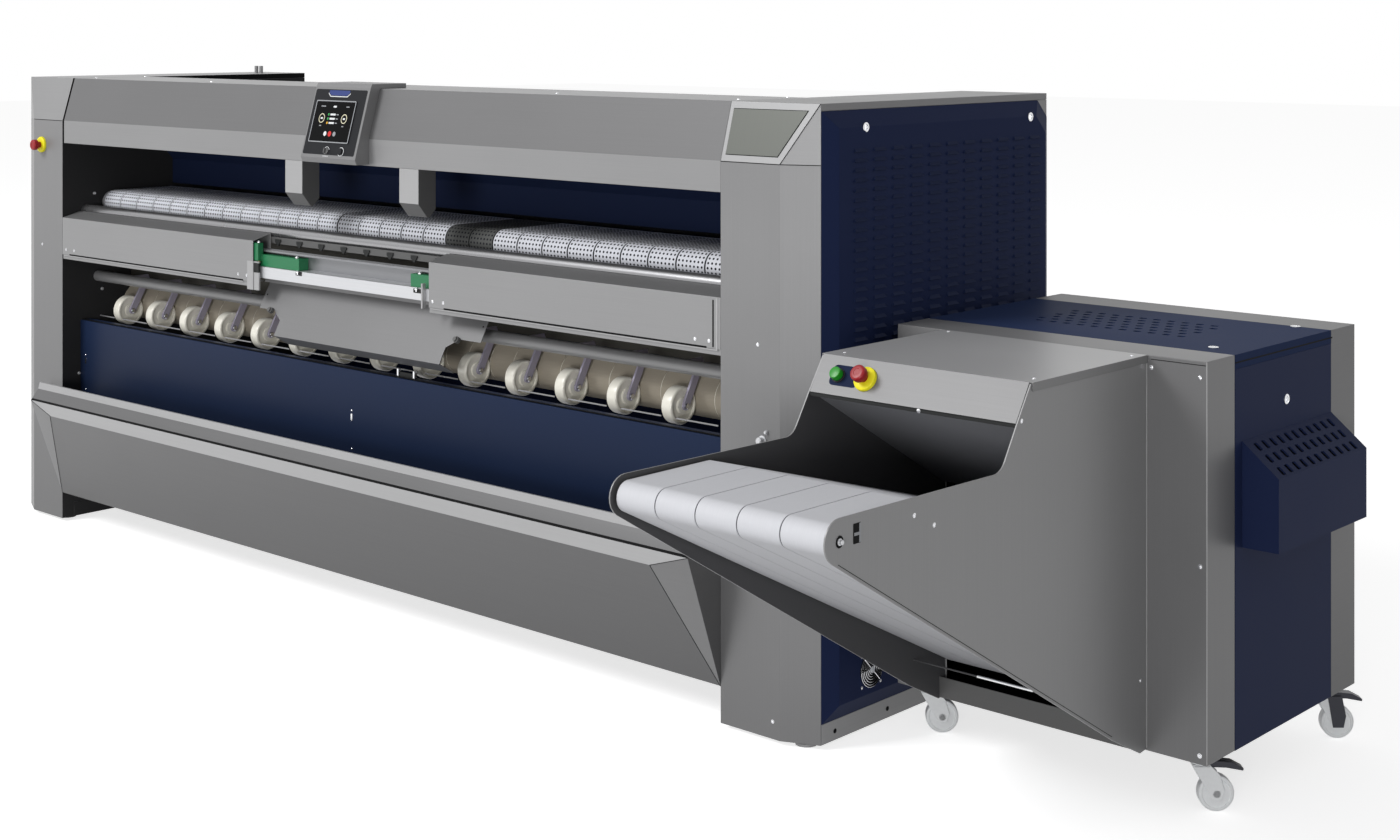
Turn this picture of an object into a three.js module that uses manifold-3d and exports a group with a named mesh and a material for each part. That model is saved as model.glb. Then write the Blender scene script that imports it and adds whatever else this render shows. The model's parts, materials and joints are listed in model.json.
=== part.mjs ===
// A flatwork ironer with the stacking unit that stands beside it, in millimetres.
// X runs along the machine to the right, Y towards its back, Z up from the floor.
// Sizes are first given about the ironer's middle (x 0), its column fronts (y 0) and the floor (z 0).
// The last lines move the whole machine so that its origin is the middle of its footprint.
import * as THREE from "three";
import { mergeVertices } from "three/addons/utils/BufferGeometryUtils.js";
import Module from "manifold-3d";

const wasm = await Module();
wasm.setup();

// Clearances
const SEAT = 0.3; // between two pieces that touch
const SHAFT_PLAY = 0.5; // round the shaft of the press wheels
const SHEET = 3; // folded steel sheet

// Ironer
const BAY_WIDTH = 3300; // clear width between the two end housings
const HALF_BAY = BAY_WIDTH / 2;
const COLUMN_WIDTH = 205; // flat front of an end housing
const CORNER_ACROSS = 100; // cut corner of a housing, along X
const CORNER_BACK = 45; // cut corner of a housing, along Y
const HOUSING_WIDTH = COLUMN_WIDTH + CORNER_ACROSS;
const HOUSING_DEPTH = 1115;
const MACHINE_TOP = 1664;
const LID_THICKNESS = 19;
const CAP_SEAM_DROP = 159; // drops are measured down from the machine's top
const CAP_SEAM = MACHINE_TOP - CAP_SEAM_DROP; // height where the column ends and its sloping cap starts
const CAP_SLOPE = 45; // how far the cap and the canopy lean back
const BASE_TOP = 65;
const FOOT_HEIGHT = 12;
const FOOT_RADIUS = 30;
const FOOT_INSET = 60;
const SIDE_PANEL_RISE = 25;
const SIDE_PANEL_BEVEL = 45;
const SIDE_PANEL_CUT = 50; // cut at its upper rear corner
const FITTING_HEIGHT = 30; // two small sensor posts on the left lid
const FITTING_RADIUS = 8;
const FITTING_SETBACK = 970;
const CAP_WALL = 4; // wall of the hollow cap
const SKIRT_GAP = 1.5; // between a column's skirt and the base rail behind it
const FOOT_NECK = 4; // gap between a foot's pad and the base rail, bridged by its screw
const BADGE_LEFT = 15; // margins of the badge plate inside the right cap
const BADGE_RIGHT = 24;
const BADGE_LOW = 20;
const BADGE_HIGH = 21;
const BADGE_THICKNESS = 2;

const CANOPY_BOTTOM_DROP = 242;
const CANOPY_BOTTOM = MACHINE_TOP - CANOPY_BOTTOM_DROP;
const CANOPY_BREAK_DROP = 158;
const CANOPY_BREAK = MACHINE_TOP - CANOPY_BREAK_DROP; // height where the canopy starts to lean back
const CANOPY_DEPTH = 360;
const CANOPY_LIP = 80;
const CANOPY_END_GAP = 11; // shadow gap at the canopy's left end
const ROOF_HEIGHT_DROP = 64;
const ROOF_HEIGHT = MACHINE_TOP - ROOF_HEIGHT_DROP;
const HOOD_FRONT = 478; // front wall of the roll hood, behind the feed belts
const HOOD_BOTTOM_DROP = 419;
const HOOD_BOTTOM = MACHINE_TOP - HOOD_BOTTOM_DROP;
const HOOD_CREASE_DROP = 324;
const HOOD_CREASE = MACHINE_TOP - HOOD_CREASE_DROP;
const HOOD_SHOULDER_DROP = 164;
const HOOD_SHOULDER = MACHINE_TOP - HOOD_SHOULDER_DROP;
const HOOD_UPPER_FRONT = 345;

const LEG_WIDTH = 91.5;
const LEG_DEPTH = 70;
const LEG_FRONT_END_DROP = 349;
const LEG_FRONT_END = MACHINE_TOP - LEG_FRONT_END_DROP;
const LEG_TIP_DROP = 392;
const LEG_TIP = MACHINE_TOP - LEG_TIP_DROP;
const LEG_BACK_END_DROP = 368;
const LEG_BACK_END = MACHINE_TOP - LEG_BACK_END_DROP;
const LEG_TIP_FLAT = 12;
const LEG_LEFT = -265; // left edges of the two legs under the canopy
const LEG_RIGHT = 320;

const CONTROL_LEFT = -105; // touch panel housing on the canopy
const CONTROL_WIDTH = 278;
const CONTROL_BOTTOM_DROP = 238;
const CONTROL_BOTTOM = MACHINE_TOP - CONTROL_BOTTOM_DROP;
const CONTROL_FACE_BOTTOM_DROP = 221;
const CONTROL_FACE_BOTTOM = MACHINE_TOP - CONTROL_FACE_BOTTOM_DROP;
const CONTROL_ABOVE_LID = 3;
const CONTROL_FACE_TOP = MACHINE_TOP + CONTROL_ABOVE_LID;
const CONTROL_FRONT = -57;
const CONTROL_LEAN = 63; // how far its face leans back
const CONTROL_HOOD = 15;
const CONTROL_HOOD_BACK = 150;
const CONTROL_WALL = 4;
const CONTROL_TOP_CUT = 6; // cut edge at the top of its face
const CONTROL_FOOT_CUT = 7; // cut edge at the foot of its face
const SCREEN_WIDTH = 204;
const SCREEN_HEIGHT = 139;
const SCREEN_THICKNESS = 3;
const SCREEN_OFFSET = [-13, 2]; // from the middle of the face, across and up
const SWITCH_HEIGHT_DROP = 199;
const SWITCH_HEIGHT = MACHINE_TOP - SWITCH_HEIGHT_DROP;
const KEY_SWITCH_X = 21;
const PANEL_BUTTON_X = 95;
const SWITCH_RADIUS = 11;
const KEY_FLANGE = 5;
const KEY_BLADE = [3, 16, 12]; // width, length and height of the switch's blade
const PANEL_BUTTON_HEIGHT = 8;
const PANEL_BUTTON_LIFT = 2.5; // room behind the button's cap for its travel
const PANEL_STEM_RADIUS = 4;
const STEM_INSIDE = 2; // how far a button's stem stands in its bore at rest
const BORE_REACH = 12; // how far a button's bore is cut to either side of its face

// Feed belts and rollers
const BELT_COUNT = 29;
const BELT_GROOVE = 4;
const BELT_LEFT_MARGIN = 30; // bay wall to the first belt
const BELT_RIGHT_MARGIN = 92.7;
const BELT_START = BELT_LEFT_MARGIN - HALF_BAY;
const BELT_SPAN = BAY_WIDTH - BELT_LEFT_MARGIN - BELT_RIGHT_MARGIN + BELT_GROOVE;
const BELT_PITCH = BELT_SPAN / BELT_COUNT;
const BELT_GROOVE_DEPTH = 1.2;
const BELT_THICKNESS = 3;
const FEED_RADIUS = 45; // outside of the belts round their rollers
const FEED_HEIGHT_DROP = 474;
const FEED_HEIGHT = MACHINE_TOP - FEED_HEIGHT_DROP;
const FEED_FRONT_AXIS = 205;
const FEED_REAR_AXIS = 450;
const ROLL_RADIUS = 240;
const ROLL_DROP = 614;
const ROLL_AXIS = [720, MACHINE_TOP - ROLL_DROP]; // y, z of the heated roll
const ROLL_WALL = 12;
const ROLL_JOURNAL = 40;
const ROLLER_WALL = 4;
const ROLLER_JOURNAL = 12;
const ROLLER_END_GAP = 8; // between a roller's end and the housing
const JOURNAL_REACH = 14; // how far a journal runs into the housing
const TUBE_RADIUS = 22;
const TUBE_WALL = 2;
const TUBE_DROP = 501;
const TUBE_AXIS = [100, MACHINE_TOP - TUBE_DROP];

// Clamp carriages on their rail, behind two box covers
const GAP_LEFT = -445; // the covers leave a gap in the middle
const GAP_RIGHT = 460;
const COVER_BOTTOM_DROP = 661;
const COVER_BOTTOM = MACHINE_TOP - COVER_BOTTOM_DROP;
const COVER_TOP_DROP = 522;
const COVER_TOP = MACHINE_TOP - COVER_TOP_DROP;
const COVER_SLOPE_BACK = 72.5;
const COVER_SLOPE_RISE = 20;
const COVER_FLANGE = 45;
const STRIP_DROP = 16; // narrow strip under each cover
const RAIL_BOTTOM_DROP = 646;
const RAIL_BOTTOM = MACHINE_TOP - RAIL_BOTTOM_DROP;
const RAIL_SEAT_DROP = 608;
const RAIL_SEAT = MACHINE_TOP - RAIL_SEAT_DROP; // top of the thick lower rail
const RAIL_TOP_DROP = 554;
const RAIL_TOP = MACHINE_TOP - RAIL_TOP_DROP;
const RAIL_LIP = 6;
const RAIL_FRONT = 15;
const RAIL_BACK = 70;
const RAIL_WEB = 8;
const RAIL_LIP_FRONT = 32;
const CARRIAGE_LENGTH = 224;
const CARRIAGE_FRONT = 22;
const CARRIAGE_TOP_DROP = 568;
const CARRIAGE_TOP = MACHINE_TOP - CARRIAGE_TOP_DROP;
const CARRIAGE_LEFT_END = -221; // inner end of the left carriage
const CARRIAGE_RIGHT_END = 348;
const CLAMP_LENGTH = 75;
const CLAMP_OVERLAP = 21;
const CLAMP_FRONT = 6;
const CLAMP_BACK = 28;
const CLAMP_BOTTOM_DROP = 589;
const CLAMP_BOTTOM = MACHINE_TOP - CLAMP_BOTTOM_DROP;
const CLAMP_TOP_DROP = 530;
const CLAMP_TOP = MACHINE_TOP - CLAMP_TOP_DROP;

// Deflector plate below the gap
const DEFLECTOR_TOP_DROP = 664;
const DEFLECTOR_TOP = [85, MACHINE_TOP - DEFLECTOR_TOP_DROP];
const DEFLECTOR_STEP_DROP = 753;
const DEFLECTOR_STEP = MACHINE_TOP - DEFLECTOR_STEP_DROP; // lower edge of its wide band
const DEFLECTOR_EDGE_DROP = 829;
const DEFLECTOR_EDGE = [0, MACHINE_TOP - DEFLECTOR_EDGE_DROP];
const DEFLECTOR_LIP_DROP = 864;
const DEFLECTOR_LIP = [59, MACHINE_TOP - DEFLECTOR_LIP_DROP];
const DEFLECTOR_WIDE = [-462, 653];
const DEFLECTOR_NARROW = [-329, 508];
const DEFLECTOR_CHAMFER = [50, 28]; // width and height of the cut where the wide band ends

// Press wheels on their arms, and the delivery roller behind them
const WHEEL_COUNT = 14;
const WHEEL_LEFT_MARGIN = 130; // bay wall to the middle of the first wheel
const WHEEL_RIGHT_MARGIN = 336;
const WHEEL_START = WHEEL_LEFT_MARGIN - HALF_BAY;
const WHEEL_SPAN = BAY_WIDTH - WHEEL_LEFT_MARGIN - WHEEL_RIGHT_MARGIN;
const WHEEL_PITCH = WHEEL_SPAN / (WHEEL_COUNT - 1);
const WHEEL_RADIUS = 54;
const WHEEL_WIDTH = 40;
const WHEEL_DROP = 877;
const WHEEL_AXIS = [200, MACHINE_TOP - WHEEL_DROP];
const WHEEL_SHAFT = 8;
const ARM_THICKNESS = 8;
const ARM_WIDTH = 26;
const ARM_KNEE = 1.6; // share of half the width by which an arm's knee is filled out
const ARM_TOP_DROP = 758;
const ARM_TOP = [262, MACHINE_TOP - ARM_TOP_DROP];
const ARM_BAR_DROP = 754;
const ARM_BAR = [150, MACHINE_TOP - ARM_BAR_DROP];
const BAR_RADIUS = 20;
const DELIVERY_RADIUS = 62;
const DELIVERY_HEIGHT_DROP = 864;
const DELIVERY_HEIGHT = MACHINE_TOP - DELIVERY_HEIGHT_DROP;
const DELIVERY_JOURNAL = 15;
const NIP = 0.5; // between a press wheel and the delivery roller

// Lower front
const LOWER_PANEL_FRONT = 75;
const LOWER_PANEL_TOP_DROP = 914;
const LOWER_PANEL_TOP = MACHINE_TOP - LOWER_PANEL_TOP_DROP;
const LOWER_PANEL_BOTTOM = 112;
const TROUGH_LIP = [-94, 536];
const TROUGH_LIP_BREAK = [-100, 513];
const TROUGH_BAND = [-124, 481];
const TROUGH_EDGE = [-130, 475];
const TROUGH_KNEE = [-130, 433];
const TROUGH_TOE = [0, 110];
const TROUGH_SLIDE = [72, 430]; // where the inner slide meets the lower panel
const TROUGH_FACET = 136; // length of the cut at each end of the main face
const TROUGH_SHEET = 4;
const TROUGH_CORNER = 22; // thickness behind each end cut

// Stacking unit
const STACK_GAP = 101; // between the ironer's right housing and the stacking unit
const STACK_WIDTH = 887;
const STACK_LEFT = HALF_BAY + HOUSING_WIDTH + STACK_GAP;
const STACK_RIGHT = STACK_LEFT + STACK_WIDTH;
const STACK_FRONT = 238;
const STACK_BACK = 1034;
const STACK_BOTTOM = 150;
const STACK_TOP = 1087;
const STACK_FRONT_RING = 137; // depth of the front frame
const STACK_REAR_RING = 140;
const STACK_RAIL = 40; // height of the closed rail at the bottom of each frame
const TOP_PANEL_DROP = 34;
const EXHAUST_FRONT = 410;
const EXHAUST_TOP = 878;
const EXHAUST_BREAK = 800;
const EXHAUST_BOTTOM = 625;
const EXHAUST_DEPTH = 94;

const HOPPER_LEFT_INSET = 148; // stacking unit's left side to the left hopper plate
const HOPPER_RIGHT_INSET = 157;
const HOPPER_LEFT = STACK_LEFT + HOPPER_LEFT_INSET; // outer faces of the two hopper plates
const HOPPER_RIGHT = STACK_RIGHT - HOPPER_RIGHT_INSET;
const HOPPER_PLATE = 4;
const HOPPER_MARGIN = 6; // belt to plate
const TOP_FRONT = -260; // front edge of the hopper's top plate
const CONTROL_EDGE = [-314, 1004]; // lower edge of its sloping control face
const CONTROL_RETURN = [-289, 1000];
const CONTROL_SIDE_LIP = 20;
const CHUTE_TOP = [-289, 996];
const CHUTE_BOTTOM = [232, 703];
const NOSE_AXIS = [-936, 868];
const NOSE_RADIUS = 46; // round front of the hopper plates
const STACK_BELT_RADIUS = 34;
const STACK_BELT_BREAK = [-680, 868];
const STACK_BELT_REAR = [300, 600];
const STACK_BELT_LOW = [255, 275];
const STACK_BELT_THICKNESS = 4;
const STACK_BELT_STRIPS = 5;
const SHOULDER_LOW = [-362, 930];
const SHOULDER_TURN = [-376, 909];
const SHOULDER_END = [-402, 909];
const TOE_FRONT = [85, 213];
const TOE_LOW = [208, 151];
const CROSS_PLATE_FRONT = 210;
const CROSS_PLATE_TOP = 207;

// Push buttons
const COLLAR_RADIUS = 30;
const COLLAR_DEPTH = 10;
const MUSHROOM_RADIUS = 20;
const MUSHROOM_BACK = 22;
const MUSHROOM_FRONT = 42;
const MUSHROOM_ROUND = 5;
const COLLAR_ROUND = 4;
const STEM_RADIUS = 11;
const STEM_START = 6.5;
const START_RADIUS = 15;
const START_DEPTH = 20;
const START_ROUND = 2;
const START_STEM_RADIUS = 5;
const START_LIFT = 5; // room behind the start button for its travel
const IRONER_STOP_DROP = 254;
const IRONER_STOP_INSET = 146; // from the bay wall, outwards
const IRONER_STOP = [-HALF_BAY - IRONER_STOP_INSET, MACHINE_TOP - IRONER_STOP_DROP];
const START_INSET = 70; // from the left hopper plate
const STACK_STOP_INSET = 150;
const START_X = HOPPER_LEFT + START_INSET;
const STACK_STOP_X = HOPPER_LEFT + STACK_STOP_INSET;
const BUTTON_SHARE = 0.5; // how far up the hopper's control face its buttons sit

// Casters
const CASTER_RADIUS = 43;
const CASTER_WIDTH = 30;
const CASTER_BORE = 6;
const CASTER_TRAIL = 36;
const CASTER_YAW = -48; // degrees, as they stand
const FORK_PLATE = 3;
const FORK_GAP = 1;
const FORK_TOP = 112;
const FORK_LOW = 27;
const FORK_WIDTH = 36;
const FORK_EYE = 24; // width of a cheek at its foot
const FORK_BROW = 10; // how far above the wheel's axis the cheek starts to slant
const KINGPIN_RADIUS = 20;
const PEDAL_REACH = 62;
const PEDAL_WIDTH = 30;
const PEDAL_LIFT = 13; // the pedal's outer end above the top of the wheel
const PEDAL_TIP = 7;
const CASTER_LEFT_INSET = 19; // from the stacking unit's sides
const CASTER_RIGHT_INSET = 77;
const CASTER_LEFT = STACK_LEFT + CASTER_LEFT_INSET;
const CASTER_RIGHT = STACK_RIGHT - CASTER_RIGHT_INSET;
const CASTER_FRONT = 348;
const CASTER_REAR = 1008;

// Sides of a round piece
const SMOOTH = 32;
const ROUND = 18;
const SMALL = 12;


// Finishes
function finish(color, roughness, metalness) {
  return new THREE.MeshStandardMaterial({ color, roughness, metalness });
}
const steelGrey = finish(0x969696, 0.45, 0.6);
const darkGrey = finish(0x3c3d3c, 0.6, 0.3);
const navy = finish(0x232a4b, 0.5, 0.1);
const aluminium = finish(0xd8d9da, 0.3, 0.9);
const chromed = finish(0xe4e5e6, 0.12, 1);
const beltWhite = finish(0xd6d7da, 0.8, 0);
const beltGrey = finish(0xcdd0d6, 0.7, 0);
const clampGreen = finish(0x2d8255, 0.5, 0);
const cream = finish(0xe1dccd, 0.45, 0);
const casterGrey = finish(0xc3c6c9, 0.5, 0);
const screenBlack = finish(0x0b0c0e, 0.1, 0);
const stopRed = finish(0xa8232a, 0.4, 0);
const stopYellow = finish(0xe8c51d, 0.5, 0);
const startGreen = finish(0x17811f, 0.4, 0);

// Solids
function signedVolume(position, corners) {
  let total = 0;
  const a = new THREE.Vector3();
  const b = new THREE.Vector3();
  const c = new THREE.Vector3();
  for (let i = 0; i < corners.length; i += 3) {
    a.fromBufferAttribute(position, corners[i]);
    b.fromBufferAttribute(position, corners[i + 1]);
    c.fromBufferAttribute(position, corners[i + 2]);
    total += a.dot(b.cross(c)) / 6;
  }
  return total;
}

function solidOf(geometry) {
  const loose = geometry.index ? geometry.toNonIndexed() : geometry;
  const bare = new THREE.BufferGeometry();
  bare.setAttribute("position", loose.getAttribute("position"));
  const merged = mergeVertices(bare, 1e-3);
  const position = merged.getAttribute("position");
  const all = merged.index.array;
  const corners = [];
  for (let i = 0; i < all.length; i += 3) {
    const [a, b, c] = [all[i], all[i + 1], all[i + 2]];
    if (a !== b && b !== c && c !== a) corners.push(a, b, c);
  }
  if (signedVolume(position, corners) < 0) corners.reverse();
  const triVerts = Uint32Array.from(corners);
  return new wasm.Manifold(new wasm.Mesh({ numProp: 3, vertProperties: position.array, triVerts }));
}

function join(...solids) {
  return solids.reduce((whole, piece) => whole.add(piece));
}

function cut(solid, ...tools) {
  return tools.reduce((left, tool) => left.subtract(tool), solid);
}

function meshOf(name, solid, material) {
  const made = solid.getMesh();
  const geometry = new THREE.BufferGeometry();
  geometry.setAttribute("position", new THREE.BufferAttribute(new Float32Array(made.vertProperties), 3));
  geometry.setIndex(new THREE.BufferAttribute(new Uint32Array(made.triVerts), 1));
  geometry.computeVertexNormals();
  const mesh = new THREE.Mesh(geometry, material);
  mesh.name = name;
  return mesh;
}

function extruded(points, low, high, basis, holes = []) {
  const shape = new THREE.Shape(points.map(([u, v]) => new THREE.Vector2(u, v)));
  for (const hole of holes) shape.holes.push(new THREE.Path(hole.map(([u, v]) => new THREE.Vector2(u, v))));
  const geometry = new THREE.ExtrudeGeometry(shape, { depth: high - low, bevelEnabled: false });
  geometry.translate(0, 0, low);
  geometry.applyMatrix4(basis);
  return solidOf(geometry);
}

const AXIS_X = new THREE.Vector3(1, 0, 0);
const AXIS_Y = new THREE.Vector3(0, 1, 0);
const AXIS_Z = new THREE.Vector3(0, 0, 1);
const ALONG_X = new THREE.Matrix4().makeBasis(AXIS_Y, AXIS_Z, AXIS_X);
const ALONG_Y = new THREE.Matrix4().makeBasis(AXIS_X, AXIS_Z, AXIS_Y);
const ALONG_Z = new THREE.Matrix4();

// Outlines are [y, z] for prismX, [x, z] for prismY and [x, y] for prismZ.
function prismX(points, low, high, holes) {
  return extruded(points, Math.min(low, high), Math.max(low, high), ALONG_X, holes);
}

function prismY(points, low, high, holes) {
  return extruded(points, low, high, ALONG_Y, holes);
}

function prismZ(points, low, high, holes) {
  return extruded(points, low, high, ALONG_Z, holes);
}

function rectangle(left, right, low, high) {
  return [[left, low], [right, low], [right, high], [left, high]];
}

function block(x0, x1, y0, y1, z0, z1) {
  return prismZ(rectangle(Math.min(x0, x1), Math.max(x0, x1), y0, y1), z0, z1);
}

// Points on an arc, angles in degrees.
function arc(centre, radius, from, to, steps) {
  return Array.from({ length: steps + 1 }, (_, i) => {
    const angle = THREE.MathUtils.degToRad(from + ((to - from) * i) / steps);
    return [centre[0] + radius * Math.cos(angle), centre[1] + radius * Math.sin(angle)];
  });
}

function circle(centre, radius, sides) {
  return arc(centre, radius, 0, 360, sides).slice(0, -1);
}

// A folded sheet: the path is one face, and the thickness lies to its left.
function folded(path, thickness) {
  const normals = path.slice(1).map(([u, v], i) => {
    const run = new THREE.Vector2(u - path[i][0], v - path[i][1]).normalize();
    return new THREE.Vector2(-run.y, run.x);
  });
  const inner = path.map(([u, v], i) => {
    const before = normals[Math.max(i - 1, 0)];
    const after = normals[Math.min(i, normals.length - 1)];
    const scale = thickness / (1 + before.dot(after));
    return [u + (before.x + after.x) * scale, v + (before.y + after.y) * scale];
  });
  return [...path, ...inner.reverse()];
}

// The outline of a belt round equal rollers, whose centres are listed anticlockwise.
function beltOutline(centres, radius, steps) {
  const angles = centres.map((centre, i) => {
    const next = centres[(i + 1) % centres.length];
    return THREE.MathUtils.radToDeg(Math.atan2(next[1] - centre[1], next[0] - centre[0])) - 90;
  });
  return centres.flatMap((centre, i) => {
    const from = angles[(i + centres.length - 1) % centres.length];
    let turn = angles[i] - from;
    while (turn <= 0) turn += 360;
    const share = Math.ceil((steps * turn) / 180);
    return arc(centre, radius, from, from + turn, share);
  });
}

// The radius of a roller that turns inside such a belt, whose arcs are made of straight steps.
function insideBelt(radius, steps) {
  return radius * Math.cos(Math.PI / (2 * steps)) - SEAT;
}

// A turned piece about the Z axis, from a closed [radius, height] profile.
function turnedGeometry(profile, sides) {
  const points = profile.map(([radius, height]) => new THREE.Vector2(radius, height));
  const geometry = new THREE.LatheGeometry([...points, points[0].clone()], sides);
  geometry.rotateX(Math.PI / 2);
  return geometry;
}

function turned(profile, sides) {
  return solidOf(turnedGeometry(profile, sides));
}

function turnedAlongX(profile, sides, [y, z]) {
  const geometry = turnedGeometry(profile, sides);
  geometry.rotateY(Math.PI / 2);
  geometry.translate(0, y, z);
  return solidOf(geometry);
}

function rodX(centre, radius, low, high, sides) {
  return prismX(circle(centre, radius, sides), low, high);
}

// A closed body between two outlines with the same number of corners, at x = near and x = far.
function loftX(nearOutline, near, farOutline, far) {
  const count = nearOutline.length;
  const rings = [nearOutline.map(([y, z]) => [near, y, z]), farOutline.map(([y, z]) => [far, y, z])];
  const points = rings.flat();
  const faces = [];
  for (let i = 0; i < count; i++) {
    const next = (i + 1) % count;
    faces.push(i, next, next + count, i, next + count, i + count);
  }
  const flat = nearOutline.map(([y, z]) => new THREE.Vector2(y, z));
  for (const [a, b, c] of THREE.ShapeUtils.triangulateShape(flat, [])) {
    faces.push(c, b, a, a + count, b + count, c + count);
  }
  const geometry = new THREE.BufferGeometry();
  const corners = faces.flatMap((i) => points[i]);
  geometry.setAttribute("position", new THREE.BufferAttribute(new Float32Array(corners), 3));
  return solidOf(geometry);
}

// A large block whose one face lies on the plane through three points, used to cut off a corner.
function cornerTool(a, b, c, away) {
  const size = 900;
  const normal = new THREE.Vector3().crossVectors(
    new THREE.Vector3().subVectors(b, a),
    new THREE.Vector3().subVectors(c, a),
  ).normalize();
  if (normal.dot(away) < 0) normal.negate();
  const geometry = new THREE.BoxGeometry(size, size, size);
  geometry.translate(0, 0, size / 2);
  geometry.applyQuaternion(new THREE.Quaternion().setFromUnitVectors(AXIS_Z, normal));
  geometry.translate(a.x, a.y, a.z);
  return solidOf(geometry);
}

const machine = new THREE.Group();

// The plan of an end housing on one side (-1 left, 1 right), drawn in by an inset.
function housingPlan(side, inset = 0) {
  const slope = CORNER_BACK / CORNER_ACROSS;
  const bend = COLUMN_WIDTH - (inset * (Math.hypot(1, slope) - 1)) / slope;
  const outer = HOUSING_WIDTH - inset;
  const plan = [
    [inset, inset],
    [bend, inset],
    [outer, inset + (outer - bend) * slope],
    [outer, HOUSING_DEPTH - inset],
    [inset, HOUSING_DEPTH - inset],
  ];
  return plan.map(([across, back]) => [side * (HALF_BAY + across), back]);
}

// Rolls and rollers that cross the bay: axis [y, z] and the radius of the journals that carry them.
const wheelReach = WHEEL_RADIUS + DELIVERY_RADIUS + NIP;
const deliveryBack = Math.sqrt(wheelReach ** 2 - (DELIVERY_HEIGHT - WHEEL_AXIS[1]) ** 2);
const DELIVERY_AXIS = [WHEEL_AXIS[0] + deliveryBack, DELIVERY_HEIGHT];
const FRONT_AXIS = [FEED_FRONT_AXIS, FEED_HEIGHT];
const REAR_AXIS = [FEED_REAR_AXIS, FEED_HEIGHT];
const JOURNALS = [
  [ROLL_AXIS, ROLL_JOURNAL, SMOOTH],
  [FRONT_AXIS, ROLLER_JOURNAL, ROUND],
  [REAR_AXIS, ROLLER_JOURNAL, ROUND],
  [DELIVERY_AXIS, DELIVERY_JOURNAL, ROUND],
];

// A hollow roller across the bay, with its journals in the housings' inner walls.
function bayRoller(axis, radius, wall, journal, sides) {
  const half = HALF_BAY - ROLLER_END_GAP;
  const reach = HALF_BAY + JOURNAL_REACH;
  const bore = journal / 2;
  const profile = [
    [bore, -reach],
    [journal, -reach],
    [journal, -half],
    [radius, -half],
    [radius, half],
    [journal, half],
    [journal, reach],
    [bore, reach],
    [bore, half - wall],
    [radius - wall, half - wall],
    [radius - wall, wall - half],
    [bore, wall - half],
  ];
  return turnedAlongX(profile, sides, axis);
}

// One end housing: a column with a cut corner, walls all round, open to its side panel and its lid.
function endHousing(side) {
  const bottom = BASE_TOP + SEAT;
  const inset = (distance) => housingPlan(side, distance);
  const walls = cut(
    prismZ(inset(0), bottom, CAP_SEAM - SEAT),
    prismZ(inset(SHEET), bottom - 1, CAP_SEAM + 1),
  );
  const inner = side * HALF_BAY;
  const outer = side * (HALF_BAY + HOUSING_WIDTH);
  const upperFront = CAP_SLOPE + SHEET + SEAT;
  const upper = cut(
    block(inner, outer, upperFront, HOUSING_DEPTH, CAP_SEAM - SHEET, MACHINE_TOP - LID_THICKNESS - SEAT),
    block(
      inner + side * SHEET,
      outer - side * SHEET,
      upperFront + SHEET,
      HOUSING_DEPTH - SHEET,
      CAP_SEAM - 2 * SHEET,
      MACHINE_TOP,
    ),
  );
  const skirtBack = CORNER_BACK + SHEET;
  const skirt = cut(
    prismZ(inset(0), FOOT_HEIGHT, bottom + SHEET),
    prismZ(inset(SHEET), FOOT_HEIGHT - 1, bottom + 2 * SHEET),
    block(inner - side, outer + side, skirtBack, HOUSING_DEPTH + 1, FOOT_HEIGHT - 1, bottom),
  );
  const sideWindow = block(
    outer - side * 2 * SHEET,
    outer + side,
    CORNER_BACK + SIDE_PANEL_BEVEL,
    HOUSING_DEPTH - SIDE_PANEL_BEVEL,
    BASE_TOP + SIDE_PANEL_BEVEL,
    MACHINE_TOP - LID_THICKNESS - SIDE_PANEL_BEVEL,
  );
  const bores = JOURNALS.map(([axis, radius, sides]) =>
    rodX(axis, radius + SEAT, inner - side, inner + side * 2 * SHEET, sides),
  );
  return cut(join(walls, upper, skirt), sideWindow, ...bores);
}

// The base rail under an end housing, on four levelling feet.
function housingBase(side) {
  const plan = housingPlan(side, SHEET + SKIRT_GAP).slice(0, 3);
  const inner = side * HALF_BAY;
  const outer = side * (HALF_BAY + HOUSING_WIDTH);
  const ledge = CORNER_BACK + SHEET + SEAT;
  const outline = [
    ...plan,
    [plan[2][0], ledge],
    [outer, ledge],
    [outer, HOUSING_DEPTH],
    [inner, HOUSING_DEPTH],
    [inner, ledge],
    [plan[0][0], ledge],
  ];
  const hollow = block(
    inner + side * FOOT_INSET,
    outer - side * FOOT_INSET,
    2 * FOOT_INSET,
    HOUSING_DEPTH - 2 * FOOT_INSET,
    FOOT_HEIGHT + 2 * SHEET,
    BASE_TOP + 1,
  );
  const feet = [FOOT_INSET, HOUSING_WIDTH - FOOT_INSET].flatMap((across) =>
    [FOOT_INSET, HOUSING_DEPTH - FOOT_INSET].map((back) => {
      const centre = [side * (HALF_BAY + across), back];
      return join(
        prismZ(circle(centre, FOOT_RADIUS, SMALL), 0, FOOT_HEIGHT - FOOT_NECK),
        prismZ(circle(centre, FOOT_RADIUS / 3, SMALL), FOOT_HEIGHT - FOOT_NECK - 1, FOOT_HEIGHT + 1),
      );
    }),
  );
  return join(cut(prismZ(outline, FOOT_HEIGHT, BASE_TOP), hollow), ...feet);
}

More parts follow.
